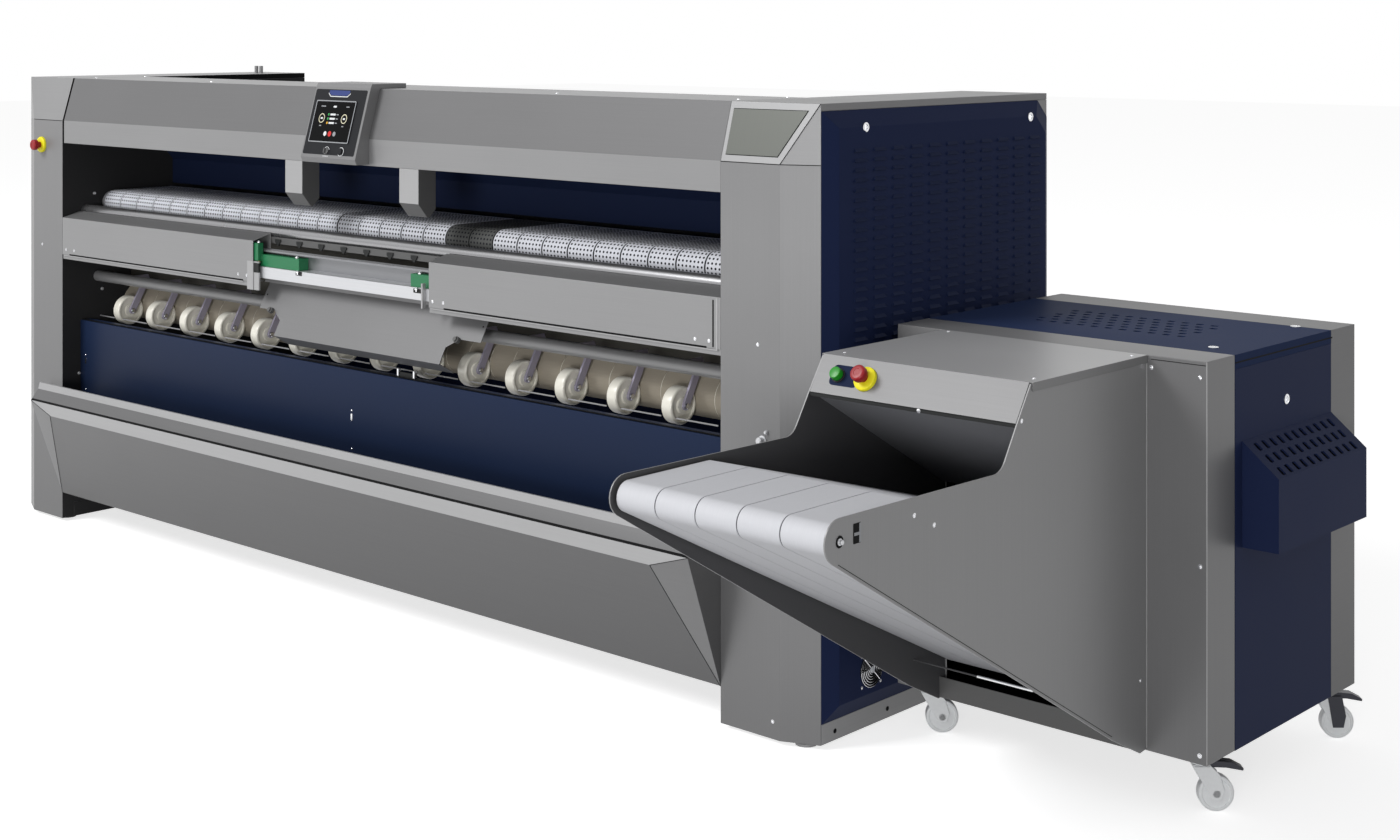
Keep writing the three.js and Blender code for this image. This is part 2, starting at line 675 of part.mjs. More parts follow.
// The raised side panel, a shell with bevelled edges and one cut corner.
function sidePanel(side) {
  const outline = (inset) => {
    const front = CORNER_BACK + inset;
    const back = HOUSING_DEPTH - inset;
    const low = BASE_TOP + inset;
    const high = MACHINE_TOP - LID_THICKNESS - inset;
    return [
      [front, low],
      [back, low],
      [back, high - SIDE_PANEL_CUT],
      [back - SIDE_PANEL_CUT, high],
      [front, high],
    ];
  };
  const near = HALF_BAY + HOUSING_WIDTH + SEAT;
  const far = HALF_BAY + HOUSING_WIDTH + SIDE_PANEL_RISE;
  const shell = loftX(outline(0), side * near, outline(SIDE_PANEL_BEVEL), side * far);
  const hollow = loftX(
    outline(2 * SHEET),
    side * (near - 1),
    outline(SIDE_PANEL_BEVEL + SHEET),
    side * (far - SHEET),
  );
  return cut(shell, hollow);
}

// The sloping cap over a column, in one piece with the housing's lid.
function topCover(side) {
  const underside = MACHINE_TOP - LID_THICKNESS;
  const outer = prismX(
    [
      [0, CAP_SEAM],
      [CAP_SLOPE, MACHINE_TOP],
      [HOUSING_DEPTH, MACHINE_TOP],
      [HOUSING_DEPTH, underside],
      [CAP_SLOPE + SHEET, underside],
      [CAP_SLOPE + SHEET, CAP_SEAM],
    ],
    side * HALF_BAY,
    side * (HALF_BAY + HOUSING_WIDTH),
  ).intersect(prismZ(housingPlan(side), CAP_SEAM - 1, MACHINE_TOP + 1));
  const slope = CAP_SLOPE / (MACHINE_TOP - CAP_SEAM);
  const cavityTop = underside - SHEET;
  const cavityFront = (height) => CAP_WALL + slope * (height - CAP_SEAM);
  const cavity = prismX(
    [
      [cavityFront(CAP_SEAM - 2), CAP_SEAM - 2],
      [cavityFront(cavityTop), cavityTop],
      [CAP_SLOPE, cavityTop],
      [CAP_SLOPE, CAP_SEAM - 2],
    ],
    side * HALF_BAY,
    side * (HALF_BAY + HOUSING_WIDTH),
  ).intersect(prismZ(housingPlan(side, CAP_WALL), CAP_SEAM - 5, MACHINE_TOP));
  const lidHollow = block(
    side * (HALF_BAY + SHEET),
    side * (HALF_BAY + HOUSING_WIDTH - SHEET),
    CAP_SLOPE + 3 * SHEET,
    HOUSING_DEPTH - SHEET,
    underside - 1,
    MACHINE_TOP - SHEET,
  );
  const cover = cut(outer, cavity, lidHollow);
  if (side > 0) return cover;
  const posts = [COLUMN_WIDTH / 2, COLUMN_WIDTH / 2 + 4 * FITTING_RADIUS].map((across) =>
    prismZ(
      circle([side * (HALF_BAY + across), FITTING_SETBACK], FITTING_RADIUS, SMALL),
      MACHINE_TOP - 1,
      MACHINE_TOP + FITTING_HEIGHT,
    ),
  );
  return join(cover, ...posts);
}

for (const [side, word] of [[-1, "left"], [1, "right"]]) {
  machine.add(
    meshOf(word + "_housing", endHousing(side), steelGrey),
    meshOf(word + "_base", housingBase(side), steelGrey),
    meshOf(word + "_side_panel", sidePanel(side), navy),
    meshOf(word + "_top_cover", topCover(side), steelGrey),
  );
}

// A bore square to a sloping face, for a button's stem.
function slopeBore([x, y, z], lean, rise, radius) {
  const profile = [[0, -BORE_REACH], [radius, -BORE_REACH], [radius, BORE_REACH], [0, BORE_REACH]];
  const geometry = turnedGeometry(profile, SMALL);
  geometry.rotateX(Math.atan2(rise, lean));
  geometry.translate(x, y, z);
  return solidOf(geometry);
}

// A plate or button on a sloping face: local X runs along the machine, local Z points out of the face.
function onSlope(x, y, z, lean, rise) {
  const group = new THREE.Group();
  group.position.set(x, y, z);
  group.rotation.x = Math.atan2(rise, lean);
  machine.add(group);
  return group;
}

// The bare badge plate on the right cap, a trapezoid inside the cap's own edges.
const capRise = MACHINE_TOP - CAP_SEAM;
const capLength = Math.hypot(CAP_SLOPE, capRise);
const badgeTop = capLength - BADGE_HIGH;
const badgeRight = (up) => COLUMN_WIDTH - BADGE_RIGHT + (CORNER_ACROSS * up) / capLength;
const badgePlace = onSlope(HALF_BAY, 0, CAP_SEAM, CAP_SLOPE, capRise);
badgePlace.add(
  meshOf(
    "badge_plate",
    prismZ(
      [
        [BADGE_LEFT, BADGE_LOW],
        [badgeRight(BADGE_LOW), BADGE_LOW],
        [badgeRight(badgeTop), badgeTop],
        [BADGE_LEFT, badgeTop],
      ],
      SEAT,
      SEAT + BADGE_THICKNESS,
    ),
    steelGrey,
  ),
);

// The canopy across the bay: a lower strip, a sloping front and a flat top.
const canopySheet = folded(
  [
    [CANOPY_DEPTH, ROOF_HEIGHT + SEAT],
    [CANOPY_DEPTH, MACHINE_TOP],
    [CAP_SLOPE, MACHINE_TOP],
    [0, CANOPY_BREAK],
    [0, CANOPY_BOTTOM],
    [CANOPY_LIP, CANOPY_BOTTOM],
  ],
  SHEET,
);
const canopyLeft = CANOPY_END_GAP - HALF_BAY;
const canopyRight = HALF_BAY - SEAT;
machine.add(meshOf("canopy", prismX(canopySheet, canopyLeft, canopyRight), steelGrey));

// The navy roll hood: the wall behind the feed belts and the roof over the heated roll.
const hoodSheet = folded(
  [
    [HOOD_FRONT, HOOD_BOTTOM],
    [HOOD_FRONT, HOOD_CREASE],
    [HOOD_UPPER_FRONT, HOOD_SHOULDER],
    [HOOD_UPPER_FRONT, ROOF_HEIGHT],
    [HOUSING_DEPTH - SHEET - SEAT, ROOF_HEIGHT],
  ],
  -SHEET,
);
machine.add(meshOf("roll_hood", prismX(hoodSheet, SEAT - HALF_BAY, HALF_BAY - SEAT), navy));

// The rear panel, with a folded beam along its foot that ties the two housings.
const rearSheet = folded(
  [
    [HOUSING_DEPTH, ROOF_HEIGHT - SEAT],
    [HOUSING_DEPTH, BASE_TOP],
    [HOUSING_DEPTH - 2 * FOOT_INSET, BASE_TOP],
    [HOUSING_DEPTH - 2 * FOOT_INSET, BASE_TOP + FOOT_INSET],
  ],
  -SHEET,
);
machine.add(meshOf("rear_panel", prismX(rearSheet, SEAT - HALF_BAY, HALF_BAY - SEAT), navy));

// Two pointed legs that hang from the canopy.
for (const [word, left] of [["left", LEG_LEFT], ["right", LEG_RIGHT]]) {
  const top = CANOPY_BOTTOM - SEAT;
  const middle = LEG_DEPTH / 2;
  const outline = [
    [0, top],
    [0, LEG_FRONT_END],
    [middle, LEG_TIP],
    [middle + LEG_TIP_FLAT, LEG_TIP],
    [LEG_DEPTH, LEG_BACK_END],
    [LEG_DEPTH, top],
  ];
  const hollow = rectangle(SHEET, LEG_DEPTH - SHEET, LEG_FRONT_END + SHEET, top + 1);
  const leg = cut(
    prismX(outline, left, left + LEG_WIDTH),
    prismX(hollow, left + SHEET, left + LEG_WIDTH - SHEET),
  );
  machine.add(meshOf(word + "_canopy_leg", leg, steelGrey));
}

// The touch panel's housing, a shell that hooks over the canopy.
const controlRise = CONTROL_FACE_TOP - CONTROL_FACE_BOTTOM;
const controlSlope = CONTROL_LEAN / controlRise;
const controlRight = CONTROL_LEFT + CONTROL_WIDTH;
const controlFace = (height) => CONTROL_FRONT + controlSlope * (height - CONTROL_FACE_BOTTOM);
const controlHoodTop = MACHINE_TOP + SEAT + CONTROL_HOOD;
const canopySlopeSeat = SEAT * 1.5;
const controlOutline = [
  [CONTROL_FRONT, CONTROL_FACE_BOTTOM],
  [controlFace(CONTROL_FACE_TOP), CONTROL_FACE_TOP],
  [controlFace(CONTROL_FACE_TOP) + CONTROL_TOP_CUT, controlHoodTop],
  [CONTROL_HOOD_BACK, controlHoodTop],
  [CONTROL_HOOD_BACK, MACHINE_TOP + SEAT],
  [CAP_SLOPE - canopySlopeSeat, MACHINE_TOP + SEAT],
  [-canopySlopeSeat, CANOPY_BREAK],
  [-canopySlopeSeat, CONTROL_BOTTOM],
  [CONTROL_FRONT + CONTROL_FOOT_CUT, CONTROL_BOTTOM],
];
const cavityLow = CONTROL_BOTTOM + 2 * CONTROL_WALL;
const cavityHigh = CONTROL_FACE_TOP - 3 * CONTROL_WALL;
const controlCavity = [
  [controlFace(cavityLow) + 2 * CONTROL_WALL, cavityLow],
  [CAP_SLOPE + CONTROL_WALL, cavityLow],
  [CAP_SLOPE + CONTROL_WALL, cavityHigh],
  [controlFace(cavityHigh) + CONTROL_WALL, cavityHigh],
];
const panelButtonSpot = [PANEL_BUTTON_X, controlFace(SWITCH_HEIGHT), SWITCH_HEIGHT];
const controlHousing = cut(
  prismX(controlOutline, CONTROL_LEFT, controlRight),
  prismX(controlCavity, CONTROL_LEFT + CONTROL_WALL, controlRight - CONTROL_WALL),
  slopeBore(panelButtonSpot, CONTROL_LEAN, controlRise, PANEL_STEM_RADIUS + SEAT),
);
machine.add(meshOf("touch_panel_housing", controlHousing, darkGrey));

// Screen, key switch and push button on the panel's face.
function onControlFace(x, height) {
  return onSlope(x, controlFace(height), height, CONTROL_LEAN, controlRise);
}
const faceMiddle = (CONTROL_FACE_BOTTOM + CONTROL_FACE_TOP) / 2;
const screenPlace = onControlFace((CONTROL_LEFT + controlRight) / 2, faceMiddle);
const [screenAcross, screenUp] = SCREEN_OFFSET;
const screenPlate = block(
  screenAcross - SCREEN_WIDTH / 2,
  screenAcross + SCREEN_WIDTH / 2,
  screenUp - SCREEN_HEIGHT / 2,
  screenUp + SCREEN_HEIGHT / 2,
  SEAT,
  SEAT + SCREEN_THICKNESS,
);
screenPlace.add(meshOf("touch_screen", screenPlate, screenBlack));
const discProfile = (radius, low, high) => [[0, low], [radius, low], [radius, high], [0, high]];
const [bladeWidth, bladeLength, bladeTop] = KEY_BLADE;
const keySwitch = join(
  turned(discProfile(SWITCH_RADIUS, SEAT, KEY_FLANGE), ROUND),
  block(-bladeWidth / 2, bladeWidth / 2, -bladeLength / 2, bladeLength / 2, KEY_FLANGE - 1, bladeTop),
);
onControlFace(KEY_SWITCH_X, SWITCH_HEIGHT).add(meshOf("panel_key_switch", keySwitch, chromed));
const panelButton = join(
  turned(discProfile(SWITCH_RADIUS, PANEL_BUTTON_LIFT, PANEL_BUTTON_HEIGHT), ROUND),
  turned(discProfile(PANEL_STEM_RADIUS, -STEM_INSIDE, PANEL_BUTTON_LIFT + 1), SMALL),
);
onControlFace(PANEL_BUTTON_X, SWITCH_HEIGHT).add(meshOf("panel_button", panelButton, steelGrey));

// The feed belts: one loop with a groove between each pair of belts.
const feedCentres = [FRONT_AXIS, REAR_AXIS];
const beltInner = FEED_RADIUS - BELT_THICKNESS;
const beltArcSteps = 8;
const beltEnd = BELT_START + BELT_COUNT * BELT_PITCH - BELT_GROOVE;
const beltLoop = prismX(
  beltOutline(feedCentres, FEED_RADIUS, beltArcSteps),
  BELT_START,
  beltEnd,
  [beltOutline(feedCentres, beltInner, beltArcSteps)],
);
const grooves = Array.from({ length: BELT_COUNT - 1 }, (_, i) => {
  const left = BELT_START + (i + 1) * BELT_PITCH - BELT_GROOVE;
  const top = FEED_HEIGHT + FEED_RADIUS;
  return block(left, left + BELT_GROOVE, 0, FEED_REAR_AXIS, top - BELT_GROOVE_DEPTH, top + BELT_GROOVE);
});
machine.add(meshOf("feed_belts", cut(beltLoop, ...grooves), beltWhite));

const feedRollerRadius = insideBelt(beltInner, beltArcSteps);
machine.add(
  meshOf(
    "feed_nose_roller",
    bayRoller(FRONT_AXIS, feedRollerRadius, ROLLER_WALL, ROLLER_JOURNAL, ROUND),
    aluminium,
  ),
  meshOf(
    "feed_drive_roller",
    bayRoller(REAR_AXIS, feedRollerRadius, ROLLER_WALL, ROLLER_JOURNAL, ROUND),
    aluminium,
  ),
  meshOf("heated_roll", bayRoller(ROLL_AXIS, ROLL_RADIUS, ROLL_WALL, ROLL_JOURNAL, SMOOTH), chromed),
  meshOf(
    "delivery_roller",
    bayRoller(DELIVERY_AXIS, DELIVERY_RADIUS, ROLLER_WALL, DELIVERY_JOURNAL, ROUND),
    cream,
  ),
);

const tube = prismX(circle(TUBE_AXIS, TUBE_RADIUS, ROUND), SEAT - HALF_BAY, HALF_BAY - SEAT, [
  circle(TUBE_AXIS, TUBE_RADIUS - TUBE_WALL, ROUND),
]);
machine.add(meshOf("guide_tube", tube, chromed));

// The rail across the bay, a channel open to the front, on which the clamp carriages travel.
const railOutline = [
  [RAIL_FRONT, RAIL_BOTTOM],
  [RAIL_BACK, RAIL_BOTTOM],
  [RAIL_BACK, RAIL_TOP],
  [RAIL_LIP_FRONT, RAIL_TOP],
  [RAIL_LIP_FRONT, RAIL_TOP - RAIL_LIP],
  [RAIL_BACK - RAIL_WEB, RAIL_TOP - RAIL_LIP],
  [RAIL_BACK - RAIL_WEB, RAIL_SEAT],
  [RAIL_FRONT, RAIL_SEAT],
];
const railBore = rectangle(
  RAIL_FRONT + SHEET,
  RAIL_BACK - RAIL_WEB,
  RAIL_BOTTOM + SHEET,
  RAIL_SEAT - SHEET,
);
machine.add(
  meshOf("clamp_rail", prismX(railOutline, SEAT - HALF_BAY, HALF_BAY - SEAT, [railBore]), aluminium),
);

// One clamp carriage: a block in the channel with a clamp on its outer end.
function carriage(side, innerEnd) {
  const outerEnd = innerEnd + side * CARRIAGE_LENGTH;
  const body = block(
    innerEnd,
    outerEnd,
    CARRIAGE_FRONT,
    RAIL_BACK - RAIL_WEB - SEAT,
    RAIL_SEAT + SEAT,
    CARRIAGE_TOP,
  );
  const clampStart = outerEnd - side * CLAMP_OVERLAP;
  const clamp = block(
    clampStart,
    clampStart + side * CLAMP_LENGTH,
    CLAMP_FRONT,
    CLAMP_BACK,
    CLAMP_BOTTOM,
    CLAMP_TOP,
  );
  return join(body, clamp);
}
machine.add(
  meshOf("left_clamp_carriage", carriage(-1, CARRIAGE_LEFT_END), clampGreen),
  meshOf("right_clamp_carriage", carriage(1, CARRIAGE_RIGHT_END), clampGreen),
);

// The two box covers in front of the rail, each one folded sheet with a narrow strip below.
const coverBack = [COVER_SLOPE_BACK, COVER_TOP + COVER_SLOPE_RISE];
const coverSheet = folded(
  [
    [RAIL_BACK + SEAT + SHEET, RAIL_TOP - RAIL_LIP],
    [RAIL_BACK + SEAT + SHEET, coverBack[1]],
    [0, COVER_TOP],
    [0, COVER_BOTTOM],
    [COVER_FLANGE, COVER_BOTTOM],
  ],
  SHEET,
);
const coverStrip = rectangle(SHEET, 2 * SHEET, COVER_BOTTOM - STRIP_DROP, COVER_BOTTOM + SHEET / 2);
for (const [word, left, right] of [
  ["left", SEAT - HALF_BAY, GAP_LEFT],
  ["right", GAP_RIGHT, HALF_BAY - SEAT],
]) {
  const cover = join(prismX(coverSheet, left, right), prismX(coverStrip, left, right));
  machine.add(meshOf(word + "_rail_cover", cover, steelGrey));
}

// The deflector plate under the gap: a sloping sheet, narrower below, whose edge is folded back.
const deflectorSheet = folded([DEFLECTOR_TOP, DEFLECTOR_EDGE, DEFLECTOR_LIP], SHEET);
function deflectorCorner(wide, narrow) {
  const outwards = Math.sign(wide - narrow);
  const [chamferWidth, chamferHeight] = DEFLECTOR_CHAMFER;
  const floor = DEFLECTOR_LIP[1] - SHEET;
  const outline = [
    [wide + outwards, floor],
    [wide + outwards, DEFLECTOR_STEP],
    [narrow + outwards * chamferWidth, DEFLECTOR_STEP],
    [narrow, DEFLECTOR_STEP - chamferHeight],
    [narrow, floor],
  ];
  return prismY(outline, DEFLECTOR_EDGE[0] - SHEET, DEFLECTOR_TOP[0]);
}
const railFoot = rectangle(
  RAIL_BACK - RAIL_WEB,
  DEFLECTOR_TOP[0] + SHEET,
  DEFLECTOR_TOP[1] - SHEET,
  RAIL_BOTTOM - SEAT,
);
machine.add(
  meshOf(
    "deflector_plate",
    cut(
      join(prismX(deflectorSheet, ...DEFLECTOR_WIDE), prismX(railFoot, ...DEFLECTOR_WIDE)),
      deflectorCorner(DEFLECTOR_WIDE[0], DEFLECTOR_NARROW[0]),
      deflectorCorner(DEFLECTOR_WIDE[1], DEFLECTOR_NARROW[1]),
    ),
    steelGrey,
  ),
);

// The press wheels, joined by the shaft that their arms carry.
const wheelCentres = Array.from({ length: WHEEL_COUNT }, (_, i) => WHEEL_START + i * WHEEL_PITCH);
const halfWheel = WHEEL_WIDTH / 2;
const armSide = halfWheel + 3; // from a wheel's middle to its arm
const wheelProfile = wheelCentres.flatMap((x) => [
  [WHEEL_SHAFT, x - halfWheel],
  [WHEEL_RADIUS, x - halfWheel],
  [WHEEL_RADIUS, x + halfWheel],
  [WHEEL_SHAFT, x + halfWheel],
]);
const shaftStart = wheelCentres[0] - halfWheel - armSide;
const shaftEnd = wheelCentres[WHEEL_COUNT - 1] + halfWheel + armSide;
const wheels = turnedAlongX(
  [[0, shaftStart], [WHEEL_SHAFT, shaftStart], ...wheelProfile, [WHEEL_SHAFT, shaftEnd], [0, shaftEnd]],
  ROUND,
  WHEEL_AXIS,
);
machine.add(meshOf("press_wheels", wheels, cream));

// Their frame: a round bar across the bay with one arm beside each wheel.
function wheelArm(x) {
  const left = x + armSide;
  const right = left + ARM_THICKNESS;
  const [wheelY, wheelZ] = WHEEL_AXIS;
  const [topY, topZ] = ARM_TOP;
  const along = new THREE.Vector2(topY - wheelY, topZ - wheelZ).normalize().multiplyScalar(ARM_WIDTH / 2);
  const [halfY, halfZ] = [-along.y, along.x];
  const round = THREE.MathUtils.radToDeg(Math.atan2(halfZ, halfY));
  const link = [
    ...arc(WHEEL_AXIS, ARM_WIDTH / 2, round, round + 180, 5),
    [topY - halfY, topZ - halfZ],
    [topY + along.x, topZ + along.y],
    [ARM_BAR[0], topZ + along.y],
    [ARM_BAR[0], topZ - along.y],
    [topY + halfY * ARM_KNEE, topZ - along.y],
  ];
  const bore = rodX(WHEEL_AXIS, WHEEL_SHAFT + SHAFT_PLAY, left - 1, right + 1, SMALL);
  return cut(prismX(link, left, right), bore);
}
const bar = rodX(ARM_BAR, BAR_RADIUS, SEAT - HALF_BAY, HALF_BAY - SEAT, ROUND);
machine.add(meshOf("wheel_frame", join(bar, ...wheelCentres.map(wheelArm)), steelGrey));

// The navy panel under the wheels, folded back along its top and foot.
const lowerSheet = folded(
  [
    [LOWER_PANEL_FRONT + COVER_FLANGE, LOWER_PANEL_TOP],
    [LOWER_PANEL_FRONT, LOWER_PANEL_TOP],
    [LOWER_PANEL_FRONT, LOWER_PANEL_BOTTOM],
    [LOWER_PANEL_FRONT + COVER_FLANGE, LOWER_PANEL_BOTTOM],
  ],
  SHEET,
);
machine.add(meshOf("lower_panel", prismX(lowerSheet, SEAT - HALF_BAY, HALF_BAY - SEAT), navy));

// The trough in front of it: an outer cover with cut ends and an inner slide.
function trough() {
  const left = SEAT - HALF_BAY;
  const right = HALF_BAY - SEAT;
  const lipBack = [TROUGH_LIP[0] + 2 * TROUGH_SHEET, TROUGH_LIP[1]];
  const slideFront = [TROUGH_LIP_BREAK[0] + 4 * TROUGH_SHEET, TROUGH_BAND[1] + 2 * TROUGH_SHEET];
  const seatY = LOWER_PANEL_FRONT - SEAT;
  const face = folded(
    [TROUGH_LIP, TROUGH_LIP_BREAK, TROUGH_BAND, TROUGH_EDGE, TROUGH_KNEE, TROUGH_TOE],
    TROUGH_SHEET,
  );
  const toe = rectangle(TROUGH_TOE[0], seatY, TROUGH_TOE[1], TROUGH_TOE[1] + TROUGH_SHEET);
  const slide = folded([[seatY, TROUGH_SLIDE[1]], slideFront, lipBack], TROUGH_SHEET);
  const lip = rectangle(TROUGH_LIP[0], lipBack[0], TROUGH_LIP[1] - TROUGH_SHEET, TROUGH_LIP[1]);
  const endWall = [
    TROUGH_LIP,
    TROUGH_LIP_BREAK,
    TROUGH_BAND,
    TROUGH_EDGE,
    TROUGH_KNEE,
    TROUGH_TOE,
    [seatY, TROUGH_TOE[1]],
    [seatY, TROUGH_SLIDE[1]],
    slideFront,
    lipBack,
  ];
  const corner = [
    TROUGH_EDGE,
    TROUGH_KNEE,
    TROUGH_TOE,
    [TROUGH_TOE[0] + TROUGH_CORNER, TROUGH_TOE[1]],
    [TROUGH_KNEE[0] + TROUGH_CORNER, TROUGH_KNEE[1]],
    [TROUGH_EDGE[0] + TROUGH_CORNER, TROUGH_EDGE[1]],
  ];
  const full = [face, toe, slide, lip].map((outline) => prismX(outline, left, right));
  const ends = [[left, 1], [right, -1]].flatMap(([end, inwards]) => [
    prismX(endWall, end, end + inwards * TROUGH_SHEET),
    prismX(corner, end, end + inwards * (TROUGH_FACET + TROUGH_SHEET)),
  ]);
  const cuts = [[left, 1], [right, -1]].map(([end, inwards]) =>
    cornerTool(
      new THREE.Vector3(end, ...TROUGH_EDGE),
      new THREE.Vector3(end + inwards * TROUGH_FACET, ...TROUGH_KNEE),
      new THREE.Vector3(end, ...TROUGH_TOE),
      new THREE.Vector3(-inwards, -1, 0),
    ),
  );
  return cut(join(...full, ...ends), ...cuts);
}
machine.add(meshOf("trough_cover", trough(), steelGrey));

// A stop button: a yellow collar with a red mushroom that travels in it.
function stopButton(place, word) {
  const collar = [
    [STEM_RADIUS + SEAT, SEAT],
    [COLLAR_RADIUS, SEAT],
    [COLLAR_RADIUS, COLLAR_DEPTH - COLLAR_ROUND],
    [COLLAR_RADIUS - COLLAR_ROUND, COLLAR_DEPTH],
    [STEM_RADIUS + SEAT, COLLAR_DEPTH],
  ];
  const mushroom = [
    [0, STEM_START],
    [STEM_RADIUS, STEM_START],
    [STEM_RADIUS, MUSHROOM_BACK],
    [MUSHROOM_RADIUS - MUSHROOM_ROUND, MUSHROOM_BACK],
    [MUSHROOM_RADIUS, MUSHROOM_BACK + MUSHROOM_ROUND],
    [MUSHROOM_RADIUS, MUSHROOM_FRONT - MUSHROOM_ROUND],
    [MUSHROOM_RADIUS - MUSHROOM_ROUND, MUSHROOM_FRONT],
    [0, MUSHROOM_FRONT],
  ];
  place.add(
    meshOf(word + "_stop_collar", turned(collar, ROUND), stopYellow),
    meshOf(word + "_stop_button", turned(mushroom, ROUND), stopRed),
  );
}
const [stopX, stopZ] = IRONER_STOP;
stopButton(onSlope(stopX, 0, stopZ, 0, 1), "ironer");

// The stacking unit: two frames joined by blue panels, with an open hopper in front.
function ringFrame(front, back, opening) {
  const shell = block(STACK_LEFT, STACK_RIGHT, front, back, STACK_BOTTOM, STACK_TOP);
  const facing = opening ? front + SHEET : front - 1;
  const rear = opening ? back + 1 : back - SHEET;
  const hollow = block(
    STACK_LEFT + SHEET,
    STACK_RIGHT - SHEET,
    facing,
    rear,
    STACK_BOTTOM + SHEET,
    STACK_TOP - SHEET,
  );
  return opening ? cut(shell, hollow, opening) : cut(shell, hollow);
}
const hopperInnerLeft = HOPPER_LEFT + HOPPER_PLATE;
const hopperInnerRight = HOPPER_RIGHT - HOPPER_PLATE;
const mouth = block(
  hopperInnerLeft + SHEET,
  hopperInnerRight - SHEET,
  STACK_FRONT - 1,
  STACK_FRONT + 2 * SHEET,
  STACK_BOTTOM + STACK_RAIL,
  CONTROL_EDGE[1] - SHEET,
);
const frontRingBack = STACK_FRONT + STACK_FRONT_RING;
const rearRingFront = STACK_BACK - STACK_REAR_RING;
const panelFront = frontRingBack + SEAT;
const panelBack = rearRingFront - SEAT;
const sideTop = STACK_TOP - TOP_PANEL_DROP;
machine.add(
  meshOf("stacker_front_frame", ringFrame(STACK_FRONT, frontRingBack, mouth), steelGrey),
  meshOf("stacker_rear_frame", ringFrame(rearRingFront, STACK_BACK, null), steelGrey),
);

// The blue top panel, with its side edges turned down.
const topSheet = folded(
  [
    [STACK_LEFT, sideTop],
    [STACK_LEFT, STACK_TOP],
    [STACK_RIGHT, STACK_TOP],
    [STACK_RIGHT, sideTop],
  ],
  -SHEET,
);
machine.add(meshOf("stacker_top_panel", prismY(topSheet, panelFront, panelBack), navy));
for (const [word, outer, inwards] of [["left", STACK_LEFT, 1], ["right", STACK_RIGHT, -1]]) {
  const sheet = block(outer, outer + inwards * SHEET, panelFront, panelBack, STACK_BOTTOM, sideTop - SEAT);
  const floor = block(
    outer,
    outer + inwards * FOOT_INSET,
    panelFront,
    panelBack,
    STACK_BOTTOM,
    STACK_BOTTOM + SHEET,
  );
  machine.add(meshOf("stacker_" + word + "_panel", join(sheet, floor), navy));
}

// The exhaust hood on the right panel, open below and towards the cabinet.
const hoodInner = STACK_RIGHT + SEAT;
const hoodOuter = STACK_RIGHT + EXHAUST_DEPTH;
const exhaustOutline = [
  [hoodInner, EXHAUST_BOTTOM],
  [hoodOuter, EXHAUST_BOTTOM],
  [hoodOuter, EXHAUST_BREAK],
  [hoodInner, EXHAUST_TOP],
];
const exhaustHollow = [
  [hoodInner - 1, EXHAUST_BOTTOM - 1],
  [hoodOuter - SHEET, EXHAUST_BOTTOM - 1],
  [hoodOuter - SHEET, EXHAUST_BREAK - SHEET],
  [hoodInner - 1, EXHAUST_TOP - 2 * SHEET],
];
const exhaust = cut(
  prismY(exhaustOutline, EXHAUST_FRONT, panelBack),
  prismY(exhaustHollow, EXHAUST_FRONT + SHEET, panelBack - SHEET),
);
machine.add(meshOf("exhaust_hood", exhaust, navy));

// The hopper's side plates, whose round noses carry the belt's front roller.
const plateTop = STACK_TOP - SHEET - SEAT;
const plateBack = STACK_FRONT - SEAT;
const toeRun = THREE.MathUtils.radToDeg(
  Math.atan2(TOE_FRONT[1] - NOSE_AXIS[1], TOE_FRONT[0] - NOSE_AXIS[0]),
);
const shoulder = new THREE.QuadraticBezierCurve(
  new THREE.Vector2(...SHOULDER_LOW),
  new THREE.Vector2(...SHOULDER_TURN),
  new THREE.Vector2(...SHOULDER_END),
).getPoints(6).map(({ x, y }) => [x, y]);
const plateOutline = [
  [plateBack, plateTop],
  [TOP_FRONT, plateTop],
  CONTROL_EDGE,
  ...shoulder,
  ...arc(NOSE_AXIS, NOSE_RADIUS, 90, 270 + toeRun, 10),
  TOE_FRONT,
  TOE_LOW,
  [plateBack, TOE_LOW[1] + SHEET],
];
const noseJournal = circle(NOSE_AXIS, ROLLER_JOURNAL + SEAT, ROUND);
machine.add(
  meshOf(
    "hopper_left_plate",
    prismX(plateOutline, HOPPER_LEFT, hopperInnerLeft, [noseJournal]),
    steelGrey,
  ),
  meshOf(
    "hopper_right_plate",
    prismX(plateOutline, hopperInnerRight, HOPPER_RIGHT, [noseJournal]),
    steelGrey,
  ),
);

// The hopper's top plate and sloping control face, one sheet whose side edges turn down over the plates.
const spanLeft = hopperInnerLeft + SEAT;
const spanRight = hopperInnerRight - SEAT;
const controlSheet = folded(
  [[plateBack, STACK_TOP], [TOP_FRONT, STACK_TOP], CONTROL_EDGE, CONTROL_RETURN],
  SHEET,
);
const overLeft = HOPPER_LEFT - SEAT - SHEET;
const overRight = HOPPER_RIGHT + SEAT + SHEET;
const topSpan = block(overLeft, overRight, TOP_FRONT + SHEET, plateBack, STACK_TOP - SHEET, STACK_TOP);
const lipBottom = STACK_TOP - CONTROL_SIDE_LIP;
const lips = [[overLeft, 1], [overRight, -1]].map(([edge, inwards]) =>
  block(edge, edge + inwards * SHEET, TOP_FRONT + SHEET, plateBack, lipBottom, STACK_TOP),
);

